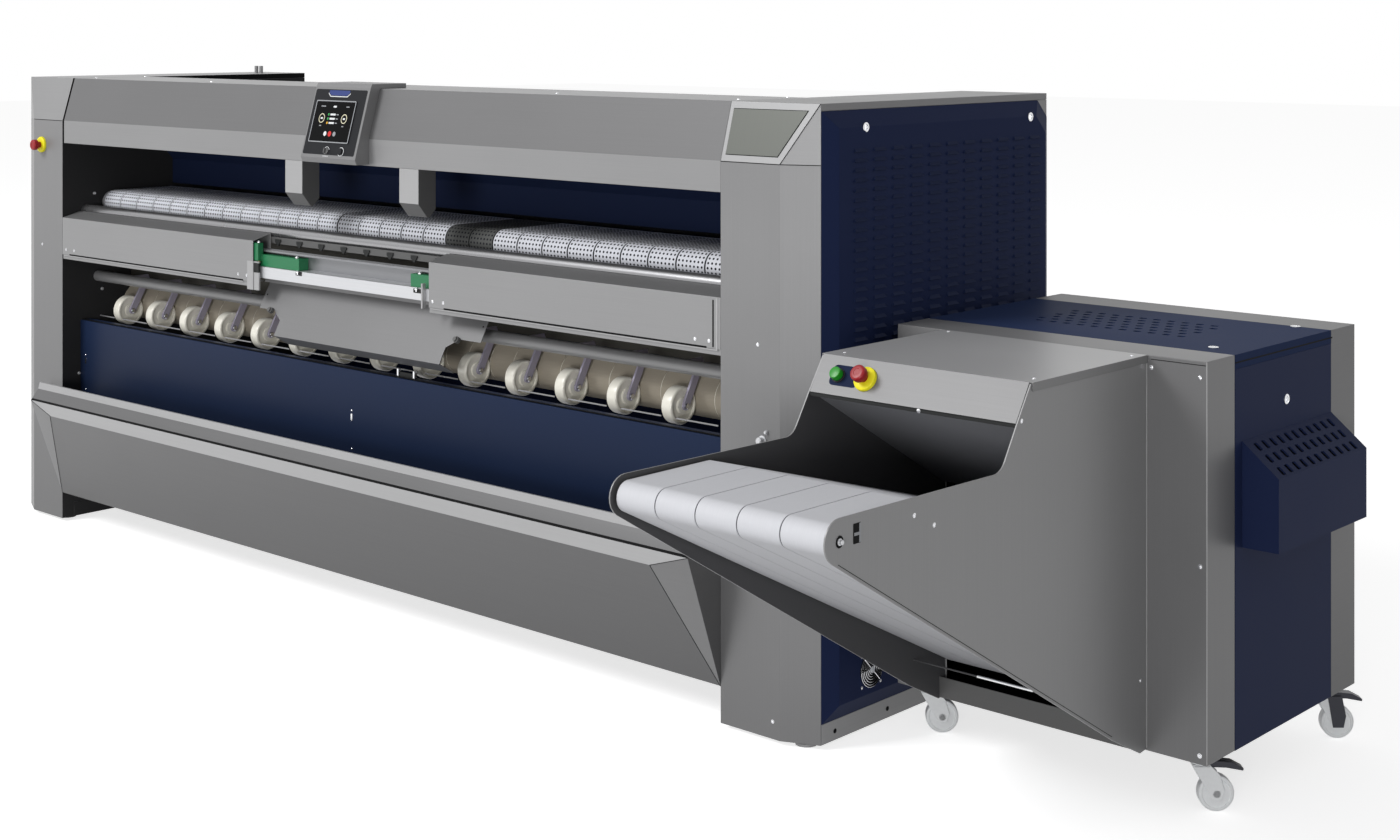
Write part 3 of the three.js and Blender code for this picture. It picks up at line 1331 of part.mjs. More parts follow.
// Start and stop buttons sit on that face; the start button's stem runs in a bore of it.
const controlLean = TOP_FRONT - CONTROL_EDGE[0];
const controlDrop = STACK_TOP - CONTROL_EDGE[1];
const buttonY = CONTROL_EDGE[0] + controlLean * BUTTON_SHARE;
const buttonZ = CONTROL_EDGE[1] + controlDrop * BUTTON_SHARE;
const startBore = slopeBore(
  [START_X, buttonY, buttonZ],
  controlLean,
  controlDrop,
  START_STEM_RADIUS + SEAT,
);
const controlPlate = cut(join(prismX(controlSheet, spanLeft, spanRight), topSpan, ...lips), startBore);
machine.add(meshOf("control_plate", controlPlate, steelGrey));
const startProfile = [
  [0, START_LIFT],
  [START_RADIUS, START_LIFT],
  [START_RADIUS, START_DEPTH - START_ROUND],
  [START_RADIUS - START_ROUND, START_DEPTH],
  [0, START_DEPTH],
];
const startButton = join(
  turned(startProfile, ROUND),
  turned(discProfile(START_STEM_RADIUS, -STEM_INSIDE, START_LIFT + 1), SMALL),
);
const startPlace = onSlope(START_X, buttonY, buttonZ, controlLean, controlDrop);
startPlace.add(meshOf("start_button", startButton, startGreen));
stopButton(onSlope(STACK_STOP_X, buttonY, buttonZ, controlLean, controlDrop), "stacker");

const chuteSheet = folded([CHUTE_TOP, CHUTE_BOTTOM], -SHEET);
machine.add(meshOf("chute_plate", prismX(chuteSheet, spanLeft, spanRight), darkGrey));

const crossSheet = rectangle(
  CROSS_PLATE_FRONT,
  CROSS_PLATE_FRONT + SHEET,
  TOE_LOW[1] + SHEET,
  CROSS_PLATE_TOP,
);
machine.add(meshOf("cross_plate", prismX(crossSheet, spanLeft, spanRight), darkGrey));

// The stacking belt: a loop that rises from the hopper to its nose, with shallow grooves between strips.
const stackCentres = [NOSE_AXIS, STACK_BELT_LOW, STACK_BELT_REAR, STACK_BELT_BREAK];
const stackBeltInner = STACK_BELT_RADIUS - STACK_BELT_THICKNESS;
const stackBeltLeft = hopperInnerLeft + HOPPER_MARGIN;
const stackBeltRight = hopperInnerRight - HOPPER_MARGIN;
const stackSteps = 8;
const stackLoop = prismX(
  beltOutline(stackCentres, STACK_BELT_RADIUS, stackSteps),
  stackBeltLeft,
  stackBeltRight,
  [beltOutline(stackCentres, stackBeltInner, stackSteps)],
);
const stripWidth = (stackBeltRight - stackBeltLeft) / STACK_BELT_STRIPS;
const stripGrooves = Array.from({ length: STACK_BELT_STRIPS - 1 }, (_, i) => {
  const middle = stackBeltLeft + (i + 1) * stripWidth;
  return prismX(
    beltOutline(stackCentres, STACK_BELT_RADIUS + BELT_GROOVE, stackSteps),
    middle - BELT_GROOVE_DEPTH,
    middle + BELT_GROOVE_DEPTH,
    [beltOutline(stackCentres, STACK_BELT_RADIUS - BELT_GROOVE_DEPTH, stackSteps)],
  );
});
machine.add(meshOf("stacking_belt", cut(stackLoop, ...stripGrooves), beltGrey));

// Its front roller, whose journals run in the hopper plates.
const noseRoller = insideBelt(stackBeltInner, stackSteps);
const noseMiddle = (HOPPER_LEFT + HOPPER_RIGHT) / 2;
const noseHalf = (stackBeltRight - stackBeltLeft) / 2;
const noseReach = (HOPPER_RIGHT - HOPPER_LEFT) / 2;
const noseProfile = [
  [ROLLER_JOURNAL / 2, -noseReach],
  [ROLLER_JOURNAL, -noseReach],
  [ROLLER_JOURNAL, -noseHalf],
  [noseRoller, -noseHalf],
  [noseRoller, noseHalf],
  [ROLLER_JOURNAL, noseHalf],
  [ROLLER_JOURNAL, noseReach],
  [ROLLER_JOURNAL / 2, noseReach],
].map(([radius, along]) => [radius, along + noseMiddle]);
machine.add(meshOf("stacking_nose_roller", turnedAlongX(noseProfile, ROUND, NOSE_AXIS), aluminium));

// One caster, about its swivel axis: the wheel trails along local Y.
function caster(word, x, y, braked) {
  const place = new THREE.Group();
  place.position.set(x, y, 0);
  place.rotation.z = THREE.MathUtils.degToRad(CASTER_YAW);
  const half = CASTER_WIDTH / 2;
  const centre = [CASTER_TRAIL, CASTER_RADIUS];
  const wheelProfile = [
    [CASTER_BORE + SEAT, -half],
    [CASTER_RADIUS, -half],
    [CASTER_RADIUS, half],
    [CASTER_BORE + SEAT, half],
  ];
  const wheel = turnedAlongX(wheelProfile, 2 * SMALL, centre);
  const inside = half + FORK_GAP;
  const outside = inside + FORK_PLATE;
  const cheek = [
    [CASTER_TRAIL - FORK_EYE / 2, FORK_LOW],
    [CASTER_TRAIL + FORK_EYE / 2, FORK_LOW],
    [CASTER_TRAIL + FORK_WIDTH / 2, CASTER_RADIUS + FORK_BROW],
    [KINGPIN_RADIUS, FORK_TOP],
    [-KINGPIN_RADIUS, FORK_TOP],
  ];
  const crownLow = FORK_TOP - 2 * FORK_PLATE;
  const parts = [
    prismX(cheek, -outside, -inside),
    prismX(cheek, inside, outside),
    block(-outside, outside, -KINGPIN_RADIUS, KINGPIN_RADIUS, crownLow, FORK_TOP),
    prismZ(circle([0, 0], KINGPIN_RADIUS, SMALL), FORK_TOP - 1, STACK_BOTTOM - SEAT),
    rodX(centre, CASTER_BORE, -outside, outside, SMALL),
  ];
  if (braked) {
    const pedal = [
      [0, crownLow],
      [CASTER_TRAIL + PEDAL_REACH, 2 * CASTER_RADIUS + PEDAL_LIFT],
      [CASTER_TRAIL + PEDAL_REACH, 2 * CASTER_RADIUS + PEDAL_LIFT + PEDAL_TIP],
      [0, FORK_TOP],
    ];
    parts.push(prismX(pedal, -PEDAL_WIDTH / 2, PEDAL_WIDTH / 2));
  }
  place.add(meshOf(word + "_caster_fork", join(...parts), casterGrey));
  place.add(meshOf(word + "_caster_wheel", wheel, casterGrey));
  machine.add(place);
}
caster("front_left", CASTER_LEFT, CASTER_FRONT, false);
caster("front_right", CASTER_RIGHT, CASTER_FRONT, true);
caster("rear_left", CASTER_LEFT, CASTER_REAR, false);
caster("rear_right", CASTER_RIGHT, CASTER_REAR, true);

// The origin: the middle of the footprint, on the floor.
const extent = new THREE.Box3().setFromObject(machine);
machine.position.set(-(extent.min.x + extent.max.x) / 2, -(extent.min.y + extent.max.y) / 2, -extent.min.z);
const part = new THREE.Group();
part.name = "flatwork_ironer";
part.add(machine);

export default part;
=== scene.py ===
"""Looks of a flatwork ironer with its stacking unit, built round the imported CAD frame."""

import json
import math
from functools import partial

import bmesh
import bpy
from mathutils import Matrix, Vector

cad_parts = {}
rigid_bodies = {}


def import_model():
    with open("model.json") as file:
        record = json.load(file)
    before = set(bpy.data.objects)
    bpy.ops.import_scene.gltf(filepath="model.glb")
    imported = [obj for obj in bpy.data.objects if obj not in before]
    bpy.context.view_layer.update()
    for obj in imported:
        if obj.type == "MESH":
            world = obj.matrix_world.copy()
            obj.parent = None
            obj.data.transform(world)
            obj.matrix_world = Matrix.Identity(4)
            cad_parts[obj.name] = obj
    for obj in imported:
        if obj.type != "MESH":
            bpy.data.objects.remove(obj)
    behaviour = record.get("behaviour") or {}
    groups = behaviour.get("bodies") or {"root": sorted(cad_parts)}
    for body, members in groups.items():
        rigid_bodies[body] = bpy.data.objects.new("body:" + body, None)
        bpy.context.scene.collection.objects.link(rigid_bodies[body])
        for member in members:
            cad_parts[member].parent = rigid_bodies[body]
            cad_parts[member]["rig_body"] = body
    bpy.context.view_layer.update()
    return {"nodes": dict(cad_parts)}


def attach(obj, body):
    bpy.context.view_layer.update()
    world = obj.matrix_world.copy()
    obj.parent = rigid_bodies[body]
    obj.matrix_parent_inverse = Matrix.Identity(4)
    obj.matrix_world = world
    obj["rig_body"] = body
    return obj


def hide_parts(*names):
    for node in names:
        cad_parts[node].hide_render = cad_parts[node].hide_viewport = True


bl_info = {
    "name": "Flatwork ironer looks",
    "version": (1, 0, 0),
    "blender": (4, 5, 0),
    "location": "3D View > Sidebar > Ironer",
    "description": "Builds the finished pieces of a flatwork ironer and its stacking unit",
    "category": "Object",
}

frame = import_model()

# Lengths below are in millimetres about the ironer's middle; TO_ROW brings them to the row frame's metres.
MM = 0.001
ROW_ORIGIN = Vector((528.5, 66.509, 0.0))
TO_ROW = Matrix.Scale(MM, 4) @ Matrix.Translation(-ROW_ORIGIN)
ALONG_X = Matrix(((0, 0, 1, 0), (1, 0, 0, 0), (0, 1, 0, 0), (0, 0, 0, 1)))
ALONG_Y = Matrix(((1, 0, 0, 0), (0, 0, 1, 0), (0, 1, 0, 0), (0, 0, 0, 1)))
ALONG_Z = Matrix.Identity(4)
RIGHT, FRONT, UP = (1, 0, 0), (0, -1, 0), (0, 0, 1)
HALF_BAY = 1650  # half the width between the end housings
BAY_END = HALF_BAY - 0.3  # what spans the bay ends just clear of its walls
SIDE_FACE = 1980  # outer face of a side panel
CAP_LEVEL = 1505  # where the housings' sloping caps begin
JOURNAL_END = 1664  # half the length of a roller with its journals
ROLLER_END = 1642  # half the length of its body
SQUARE = 0.9  # share of a normal along an axis from which its face counts as square to it
BAY_NEAR = 0.02  # metres from a bay wall within which a face counts as the wall's
# The photograph's width, the focal length and the horizon above its middle, in pixels.
PHOTO_WIDTH = 1400
FOCAL_LENGTH = 2015
HORIZON = 397
CAMERA_PLACE = (4.6705, -4.0755, 1.872)  # metres
CAMERA_HEADING = 42.1  # degrees
SMOOTH_ANGLE = math.radians(35)
CREASE = math.radians(9)
SMALL_FACE = 4e-4  # square metres, below which a face belongs to a small round part

# Brushed steel is drawn out along one way; the printed marks but the grey ones share PRINT.
LEVEL_GRAIN = (2, 2, 420)
UPRIGHT_GRAIN = (420, 420, 2)
PRINT = (0.5, 0.0, 0.3, 200, 0.03, 0.0, 0.0)
# Finish: slot of the record, colour 0-255, roughness, metal, shine, grain per metre, tint, bump, coat.
# steel_light, steel_low, steel_shade, steel_slope, steel_mid and frame are lighter and darker copies of
# steel, and bay_dark and hopper_dark darker copies; where the builders below give them to faces by the way
# those face, they are painted light and shade.
FINISHES = {
    "steel": ("steel_grey", (146, 146, 147), 0.42, 0.25, 0.4, LEVEL_GRAIN, 0.05, 0.05, 0.0),
    "steel_upright": ("steel_grey", (138, 138, 139), 0.42, 0.25, 0.4, UPRIGHT_GRAIN, 0.05, 0.05, 0.0),
    "steel_light": ("steel_grey", (168, 168, 169), 0.4, 0.25, 0.4, LEVEL_GRAIN, 0.04, 0.05, 0.0),
    "steel_low": ("steel_grey", (106, 106, 107), 0.42, 0.25, 0.25, LEVEL_GRAIN, 0.05, 0.05, 0.0),
    "steel_shade": ("steel_grey", (92, 92, 92), 0.5, 0.2, 0.3, LEVEL_GRAIN, 0.05, 0.05, 0.0),
    "steel_slope": ("steel_grey", (114, 114, 115), 0.45, 0.15, 0.2, LEVEL_GRAIN, 0.05, 0.05, 0.0),
    "hopper_dark": ("dark_grey", (76, 76, 78), 0.5, 0.1, 0.2, 240, 0.06, 0.08, 0.0),
    "column": ("steel_grey", (136, 136, 137), 0.42, 0.25, 0.3, UPRIGHT_GRAIN, 0.05, 0.05, 0.0),
    "tube": ("chrome", (152, 152, 154), 0.27, 0.85, 0.4, (2, 300, 300), 0.05, 0.04, 0.0),
    "rail_web": ("aluminium", (138, 139, 142), 0.34, 0.5, 0.4, (3, 300, 300), 0.04, 0.04, 0.0),
    "navy_front": ("navy", (29, 42, 70), 0.42, 0.0, 0.1, 260, 0.05, 0.16, 0.0),
    "steel_mid": ("steel_grey", (122, 122, 123), 0.42, 0.25, 0.35, LEVEL_GRAIN, 0.05, 0.05, 0.0),
    "frame": ("steel_grey", (116, 116, 117), 0.42, 0.25, 0.35, UPRIGHT_GRAIN, 0.05, 0.05, 0.0),
    "shield": ("dark_grey", (74, 72, 66), 0.5, 0.1, 0.2, 240, 0.06, 0.08, 0.0),
    "navy_top": ("navy", (42, 54, 86), 0.5, 0.0, 0.01, 260, 0.05, 0.16, 0.0),
    "navy_louvre": ("navy", (32, 41, 70), 0.35, 0.0, 0.02, 260, 0.05, 0.1, 0.0),
    "bay_dark": ("steel_grey", (46, 46, 47), 0.55, 0.1, 0.1, (2, 300, 300), 0.06, 0.08, 0.0),
    "badge": ("steel_grey", (94, 96, 92), 0.4, 0.3, 0.2, (320, 2, 2), 0.05, 0.05, 0.0),
    "arm_steel": ("steel_grey", (176, 171, 190), 0.42, 0.3, 0.4, (300, 300, 12), 0.06, 0.06, 0.0),
    "navy": ("navy", (33, 42, 73), 0.45, 0.0, 0.03, 260, 0.05, 0.16, 0.0),
    "navy_deep": ("navy", (32, 41, 68), 0.5, 0.0, 0.03, 260, 0.05, 0.16, 0.0),
    "dark": ("dark_grey", (46, 47, 47), 0.55, 0.1, 0.15, 240, 0.08, 0.12, 0.0),
    "inner_dark": ("dark_grey", (128, 129, 133), 0.5, 0.1, 0.3, 240, 0.06, 0.08, 0.0),
    "rubber": ("dark_grey", (16, 16, 17), 0.75, 0.0, 0.1, 400, 0.1, 0.2, 0.0),
    "panel_face": ("dark_grey", (34, 35, 38), 0.45, 0.1, 0.1, 500, 0.06, 0.1, 0.0),
    "aluminium": ("aluminium", (205, 206, 209), 0.36, 0.55, 0.5, (3, 300, 300), 0.04, 0.04, 0.0),
    "chrome": ("chrome", (222, 223, 226), 0.16, 1.0, 0.5, 90, 0.03, 0.02, 0.0),
    "brass": ("chrome", (176, 142, 72), 0.3, 0.9, 0.5, 90, 0.05, 0.02, 0.0),
    "belt_white": ("belt_white", (216, 218, 225), 0.75, 0.0, 0.2, (30, 700, 700), 0.05, 0.12, 0.0),
    "belt_dark": ("belt_grey", (88, 89, 88), 0.75, 0.0, 0.2, (30, 700, 700), 0.08, 0.12, 0.0),
    "belt_core": ("dark_grey", (20, 21, 24), 0.8, 0.0, 0.1, 300, 0.08, 0.1, 0.0),
    "belt_dot": ("dark_grey", (34, 35, 40), 0.8, 0.0, 0.1, 300, 0.08, 0.0, 0.0),
    "belt_beige": ("cream", (178, 169, 153), 0.7, 0.0, 0.3, (20, 400, 400), 0.06, 0.1, 0.0),
    "belt_stack": ("belt_grey", (208, 209, 214), 0.62, 0.0, 0.3, (400, 30, 30), 0.04, 0.08, 0.0),
    "seam": ("belt_grey", (48, 51, 58), 0.7, 0.0, 0.1, 300, 0.05, 0.0, 0.0),
    "cream": ("cream", (246, 242, 230), 0.3, 0.0, 0.5, 90, 0.05, 0.04, 0.3),
    "roll": ("chrome", (200, 201, 203), 0.22, 0.95, 0.5, (4, 260, 260), 0.05, 0.04, 0.0),
    "clamp_green": ("clamp_green", (34, 116, 74), 0.42, 0.0, 0.35, 160, 0.08, 0.06, 0.1),
    "caster": ("caster_grey", (242, 244, 247), 0.38, 0.0, 0.4, 120, 0.05, 0.04, 0.2),
    "pedal": ("dark_grey", (52, 53, 60), 0.4, 0.2, 0.3, 200, 0.06, 0.05, 0.1),
    "glass": ("screen_black", (7, 8, 9), 0.2, 0.0, 0.06, 40, 0.05, 0.0, 0.0),
    "stop_red": ("stop_red", (150, 14, 24), 0.4, 0.0, 0.35, 120, 0.05, 0.03, 0.1),
    "stop_yellow": ("stop_yellow", (248, 236, 40), 0.45, 0.0, 0.3, 120, 0.05, 0.03, 0.0),
    "start_green": ("start_green", (24, 140, 24), 0.36, 0.0, 0.35, 120, 0.05, 0.03, 0.1),
    "mark_cream": ("belt_white", (226, 220, 190), *PRINT),
    "mark_white": ("belt_white", (232, 234, 236), *PRINT),
    "mark_red": ("stop_red", (206, 40, 40), *PRINT),
    "mark_green": ("start_green", (60, 160, 84), *PRINT),
    "mark_amber": ("stop_yellow", (224, 168, 48), *PRINT),
    "mark_grey": ("steel_grey", (150, 152, 156), 0.5, 0.1, 0.3, 200, 0.03, 0.0, 0.0),
    "panel_blue": ("navy", (34, 54, 120), 0.4, 0.0, 0.3, 200, 0.04, 0.0, 0.1),
}
# Painted shade: finishes that grow darker towards the floor: lowest and highest level, shade at the lowest.
SHADE_FADES = {
    "column": (0.05, 1.3, 0.66),
    "steel_low": (0.1, 0.45, 0.8),
    "navy_front": (0.4, 0.78, 0.5),
    "belt_stack": (0.35, 0.85, 0.66),
}
materials = {}


def linear(value):
    """A colour value from 0-255 as a share of light."""
    share = value / 255
    return share / 12.92 if share <= 0.04045 else ((share + 0.055) / 1.055) ** 2.4


def colour(rgb, scale=1.0):
    return (*(min(1.0, linear(c) * scale) for c in rgb), 1.0)


def shader_node(tree, kind, operation=None, **values):
    """A shader node with its inputs set; an underscore stands for a blank."""
    node = tree.nodes.new("ShaderNode" + kind)
    if operation:
        node.operation = operation
    for socket, value in values.items():
        node.inputs[socket.replace("_", " ")].default_value = value
    return node


def wire(tree, *pairs):
    for start, end in pairs:
        tree.links.new(start, end)


def material(name):
    """The procedural material of a finish, made once."""
    if name in materials:
        return materials[name]
    _, rgb, rough, metal, shine, grain, tint, bump, coat = FINISHES[name]
    mat = bpy.data.materials.new(name)
    mat.use_nodes = True
    mat.diffuse_color = colour(rgb)
    tree = mat.node_tree
    tree.nodes.clear()
    new = partial(shader_node, tree)
    out = new("OutputMaterial")
    shader = new("BsdfPrincipled", Metallic=metal, Specular_IOR_Level=shine, Coat_Weight=coat)
    shader.inputs["Coat Roughness"].default_value = 0.18
    place = new("TexCoord").outputs["Object"]
    grain_map = new("Mapping", Scale=grain if isinstance(grain, tuple) else (grain,) * 3)
    fine = new("TexNoise", Scale=1.0, Detail=3.0)
    cloud = new("TexNoise", Scale=2.3, Detail=2.0)
    blend = new("Math", "ADD")
    halved = new("Math", "MULTIPLY")
    halved.inputs[1].default_value = 0.5
    tone = new("Mix")
    tone.data_type = "RGBA"
    tone.inputs["A"].default_value = colour(rgb, 1.0 - 2 * tint)
    tone.inputs["B"].default_value = colour(rgb, 1.0 + 2 * tint)
    gloss = new("MapRange", To_Min=max(0.03, rough - 0.06), To_Max=rough + 0.06)
    relief = new("Bump", Strength=bump, Distance=0.0006)
    painted = tone.outputs["Result"]
    wire(
        tree,
        (place, grain_map.inputs["Vector"]),
        (grain_map.outputs["Vector"], fine.inputs["Vector"]),
        (place, cloud.inputs["Vector"]),
        (fine.outputs[0], blend.inputs[0]),
        (cloud.outputs[0], blend.inputs[1]),
        (blend.outputs[0], halved.inputs[0]),
        (halved.outputs[0], tone.inputs["Factor"]),
    )
    # Painted shade: the colour darkens towards the floor.
    if name in SHADE_FADES:
        lowest, highest, shade = SHADE_FADES[name]
        level = new("SeparateXYZ")
        fade = new("MapRange", From_Min=lowest, From_Max=highest, To_Min=shade)
        shaded = new("VectorMath", "SCALE")
        wire(
            tree,
            (place, level.inputs[0]),
            (level.outputs["Z"], fade.inputs["Value"]),
            (painted, shaded.inputs[0]),
            (fade.outputs["Result"], shaded.inputs["Scale"]),
        )
        painted = shaded.outputs[0]
    wire(
        tree,
        (painted, shader.inputs["Base Color"]),
        (cloud.outputs[0], gloss.inputs["Value"]),
        (gloss.outputs["Result"], shader.inputs["Roughness"]),
        (fine.outputs[0], relief.inputs["Height"]),
        (relief.outputs["Normal"], shader.inputs["Normal"]),
        (shader.outputs[0], out.inputs["Surface"]),
    )
    materials[name] = mat
    return mat


# Meshes: each function adds to a bmesh in millimetres.
def prism(bm, outline, low, high, basis=ALONG_X):
    """Extrudes an outline between two planes; outlines are (y, z), (x, z) or (x, y) as in the CAD."""
    rings = []
    for level in (low, high):
        rings.append([bm.verts.new(basis @ Vector((u, v, level))) for u, v in outline])
    count = len(outline)
    bm.faces.new(reversed(rings[0]))
    bm.faces.new(rings[1])
    for i in range(count):
        j = (i + 1) % count
        bm.faces.new((rings[0][i], rings[0][j], rings[1][j], rings[1][i]))


def block(bm, x0, x1, y0, y1, z0, z1, place=ALONG_Z):
    before = len(bm.verts)
    prism(bm, [(x0, y0), (x1, y0), (x1, y1), (x0, y1)], z0, z1, ALONG_Z)
    bm.verts.ensure_lookup_table()
    for vert in bm.verts[before:]:
        vert.co = place @ vert.co


def ring_prism(bm, outer, inner, low, high, basis=ALONG_X):
    """A closed loop: the band between two outlines with the same number of corners."""
    count = len(outer)
    rings = [
        [bm.verts.new(basis @ Vector((u, v, level))) for u, v in line]
        for line in (outer, inner)
        for level in (low, high)
    ]
    outer_low, outer_high, inner_low, inner_high = rings
    for i in range(count):
        j = (i + 1) % count
        bm.faces.new((outer_low[i], outer_low[j], outer_high[j], outer_high[i]))
        bm.faces.new((inner_low[j], inner_low[i], inner_high[i], inner_high[j]))
        bm.faces.new((outer_low[j], outer_low[i], inner_low[i], inner_low[j]))
        bm.faces.new((outer_high[i], outer_high[j], inner_high[j], inner_high[i]))


def lathe(bm, profile, place, sides):
    """Turns an open (radius, height) profile about the local Z axis of place."""
    rings = []
    for radius, height in profile:
        if radius <= 0:
            rings.append([bm.verts.new(place @ Vector((0, 0, height)))])
            continue
        angles = [2 * math.pi * i / sides for i in range(sides)]
        rings.append(
            [
                bm.verts.new(place @ Vector((radius * math.cos(a), radius * math.sin(a), height)))
                for a in angles
            ]
        )
    for near, far in zip(rings, rings[1:]):
        for i in range(sides):
            j = (i + 1) % sides
            corners = [near[i % len(near)], near[j % len(near)], far[j % len(far)], far[i % len(far)]]
            corners = list(dict.fromkeys(corners))
            if len(corners) > 2:
                bm.faces.new(corners)


def rod(bm, points, radius, sides=10, closed=False):
    """A round wire along points."""
    points = [Vector(p) for p in points]
    count = len(points)
    rings = []
    up = Vector((0, 0, 1))
    for i, point in enumerate(points):
        ahead = points[(i + 1) % count] if closed or i < count - 1 else point
        behind = points[i - 1] if closed or i else point
        run = (ahead - behind).normalized()
        side = run.cross(up)
        if side.length < 0.01:
            side = run.cross(Vector((0, 1, 0)))
        side.normalize()
        over = side.cross(run)
        angles = [2 * math.pi * k / sides for k in range(sides)]
        rings.append(
            [bm.verts.new(point + radius * (side * math.cos(a) + over * math.sin(a))) for a in angles]
        )
    pairs = list(zip(rings, rings[1:])) + ([(rings[-1], rings[0])] if closed else [])
    for near, far in pairs:
        for k in range(sides):
            m = (k + 1) % sides
            bm.faces.new((near[k], near[m], far[m], far[k]))
    if not closed:
        bm.faces.new(reversed(rings[0]))
        bm.faces.new(rings[-1])


def loop(centre, radius, steps=30):
    """The corners of a whole round, without the last that would meet the first."""
    return arc(centre, radius, 0, 360 - 360 / steps, steps - 1)


def roller(journal, radius, half_body, half_length):
    """The profile of a roller with a journal at each end."""
    right_half = [(radius, half_body), (journal, half_body), (journal, half_length), (0, half_length)]
    return [(r, -x) for r, x in reversed(right_half)] + right_half


def wheel_rim(radius, half, edge, steps):
    """Half of a wheel's tread, with its edge rounded."""
    return arc((radius - edge, half - edge), edge, 0, 90, steps)


def arc(centre, radius, start, end, steps):
    angles = [math.radians(start + (end - start) * i / steps) for i in range(steps + 1)]
    return [(centre[0] + radius * math.cos(a), centre[1] + radius * math.sin(a)) for a in angles]


def rounded(left, right, low, high, radius, steps=4):
    """A rectangle with round corners."""
    corners = ((right, high, 0), (left, high, 90), (left, low, 180), (right, low, 270))
    line = []
    for x, y, start in corners:
        cx = x - radius if x == right else x + radius
        cy = y - radius if y == high else y + radius
        line += arc((cx, cy), radius, start, start + 90, steps)
    return line


def belt_outline(centres, radius, steps):
    """The outline of a belt round equal rollers, whose centres are listed anticlockwise."""
    count = len(centres)
    leave = []
    for i, (y, z) in enumerate(centres):
        to_y, to_z = centres[(i + 1) % count]
        leave.append(math.degrees(math.atan2(to_z - z, to_y - y)) - 90)
    line = []
    for i, centre in enumerate(centres):
        start = leave[i - 1]
        turn = leave[i] - start
        while turn <= 0:
            turn += 360
        line += arc(centre, radius, start, start + turn, max(2, math.ceil(steps * turn / 180)))
    return line


def facing(point, normal, spin=0.0):
    """A place at a point whose local Z axis looks along the normal."""
    turn = Vector((0, 0, 1)).rotation_difference(Vector(normal)).to_matrix().to_4x4()
    return Matrix.Translation(point) @ turn @ Matrix.Rotation(spin, 4, "Z")


def axle(y, z):
    """The place of a shaft that lies along X."""
    return Matrix.Translation((0, y, z)) @ ALONG_X


def on_slope(x, y, z, lean, rise):
    """A place on a face that leans back by lean while it climbs by rise."""
    return Matrix.Translation((x, y, z)) @ Matrix.Rotation(math.atan2(rise, lean), 4, "X")


def baked(obj):
    """Replaces an object's mesh and modifiers by their result."""
    depsgraph = bpy.context.evaluated_depsgraph_get()
    mesh = bpy.data.meshes.new_from_object(obj.evaluated_get(depsgraph))
    obj.modifiers.clear()
    obj.data = mesh


def soften(obj, bevel, crease=SMOOTH_ANGLE):
    """Rounds the edges sharper than the crease angle; the facets of small round parts stay smooth."""
    for face in obj.data.polygons:
        face.use_smooth = True
    bm = bmesh.new()
    bm.from_mesh(obj.data)
    chosen = bm.edges.layers.float.get("bevel_weight_edge") or bm.edges.layers.float.new("bevel_weight_edge")
    for edge in bm.edges:
        if len(edge.link_faces) != 2:
            continue
        small = min(face.calc_area() for face in edge.link_faces) < SMALL_FACE
        if edge.calc_face_angle(0) > (SMOOTH_ANGLE if small else crease):
            edge[chosen] = 1
            edge.smooth = False
    bm.to_mesh(obj.data)
    bm.free()
    if bevel:
        edge = obj.modifiers.new("edge", "BEVEL")
        edge.width = bevel * MM
        edge.segments = 2
        edge.limit_method = "WEIGHT"
        edge.harden_normals = True
        edge.use_clamp_overlap = False
        baked(obj)


def new_object(name, bm, finish, to_row=True):
    if to_row:
        bm.transform(TO_ROW)
    bmesh.ops.recalc_face_normals(bm, faces=bm.faces)
    mesh = bpy.data.meshes.new(name)
    bm.to_mesh(mesh)
    bm.free()
    obj = bpy.data.objects.new(name, mesh)
    bpy.context.scene.collection.objects.link(obj)
    for each in [finish] if isinstance(finish, str) else finish:
        mesh.materials.append(material(each))
    return obj


def hand_over(obj, body, nodes=()):
    """Tells the frame what a finished piece rides on and the nodes that it stands for."""
    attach(obj, body)
    if nodes:
        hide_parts(*nodes)


def piece(name, bm, body, finish, bevel=0.0, nodes=()):
    obj = new_object(name, bm, finish)
    soften(obj, bevel)
    hand_over(obj, body, nodes)


def made(name, body, finish, *shapes, bevel=0.0, nodes=()):
    """A piece from shapes, each given as the function that adds it and its values."""
    bm = bmesh.new()
    for add, *values in shapes:
        add(bm, *values)
    piece(name, bm, body, finish, bevel, nodes)


def rebuilt(node, finish, *shapes, bevel=0.0):
    """A piece from shapes that stands for one CAD node, on that node's body."""
    made(node + "_skin", frame["nodes"][node]["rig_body"], finish, *shapes, bevel=bevel, nodes=(node,))


def node_copy(node, finish):
    """A copy of a CAD node's mesh with its triangles merged into whole faces."""
    bm = bmesh.new()
    bm.from_mesh(frame["nodes"][node].data)
    bmesh.ops.remove_doubles(bm, verts=bm.verts, dist=1e-5)
    bmesh.ops.dissolve_limit(bm, angle_limit=math.radians(0.6), verts=bm.verts, edges=bm.edges)
    return new_object(node + "_skin", bm, finish, to_row=False)


def dress(node, finish, bevel=1.2, paint=None, crease=CREASE):
    """Gives a CAD node its finish and rounded edges; paint picks a finish's number for a face's middle."""
    obj = node_copy(node, finish)
    if paint:
        for face in obj.data.polygons:
            face.material_index = paint(face)
    soften(obj, bevel, crease)
    hand_over(obj, frame["nodes"][node]["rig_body"], (node,))


def cut_by(obj, bm):
    """Cuts the shapes of a bmesh out of an object."""
    tool = new_object("cutter", bm, "dark")
    cutting = obj.modifiers.new("cut", "BOOLEAN")
    cutting.operation = "DIFFERENCE"
    cutting.solver = "EXACT"
    cutting.object = tool
    baked(obj)
    bpy.data.objects.remove(tool)
    return obj


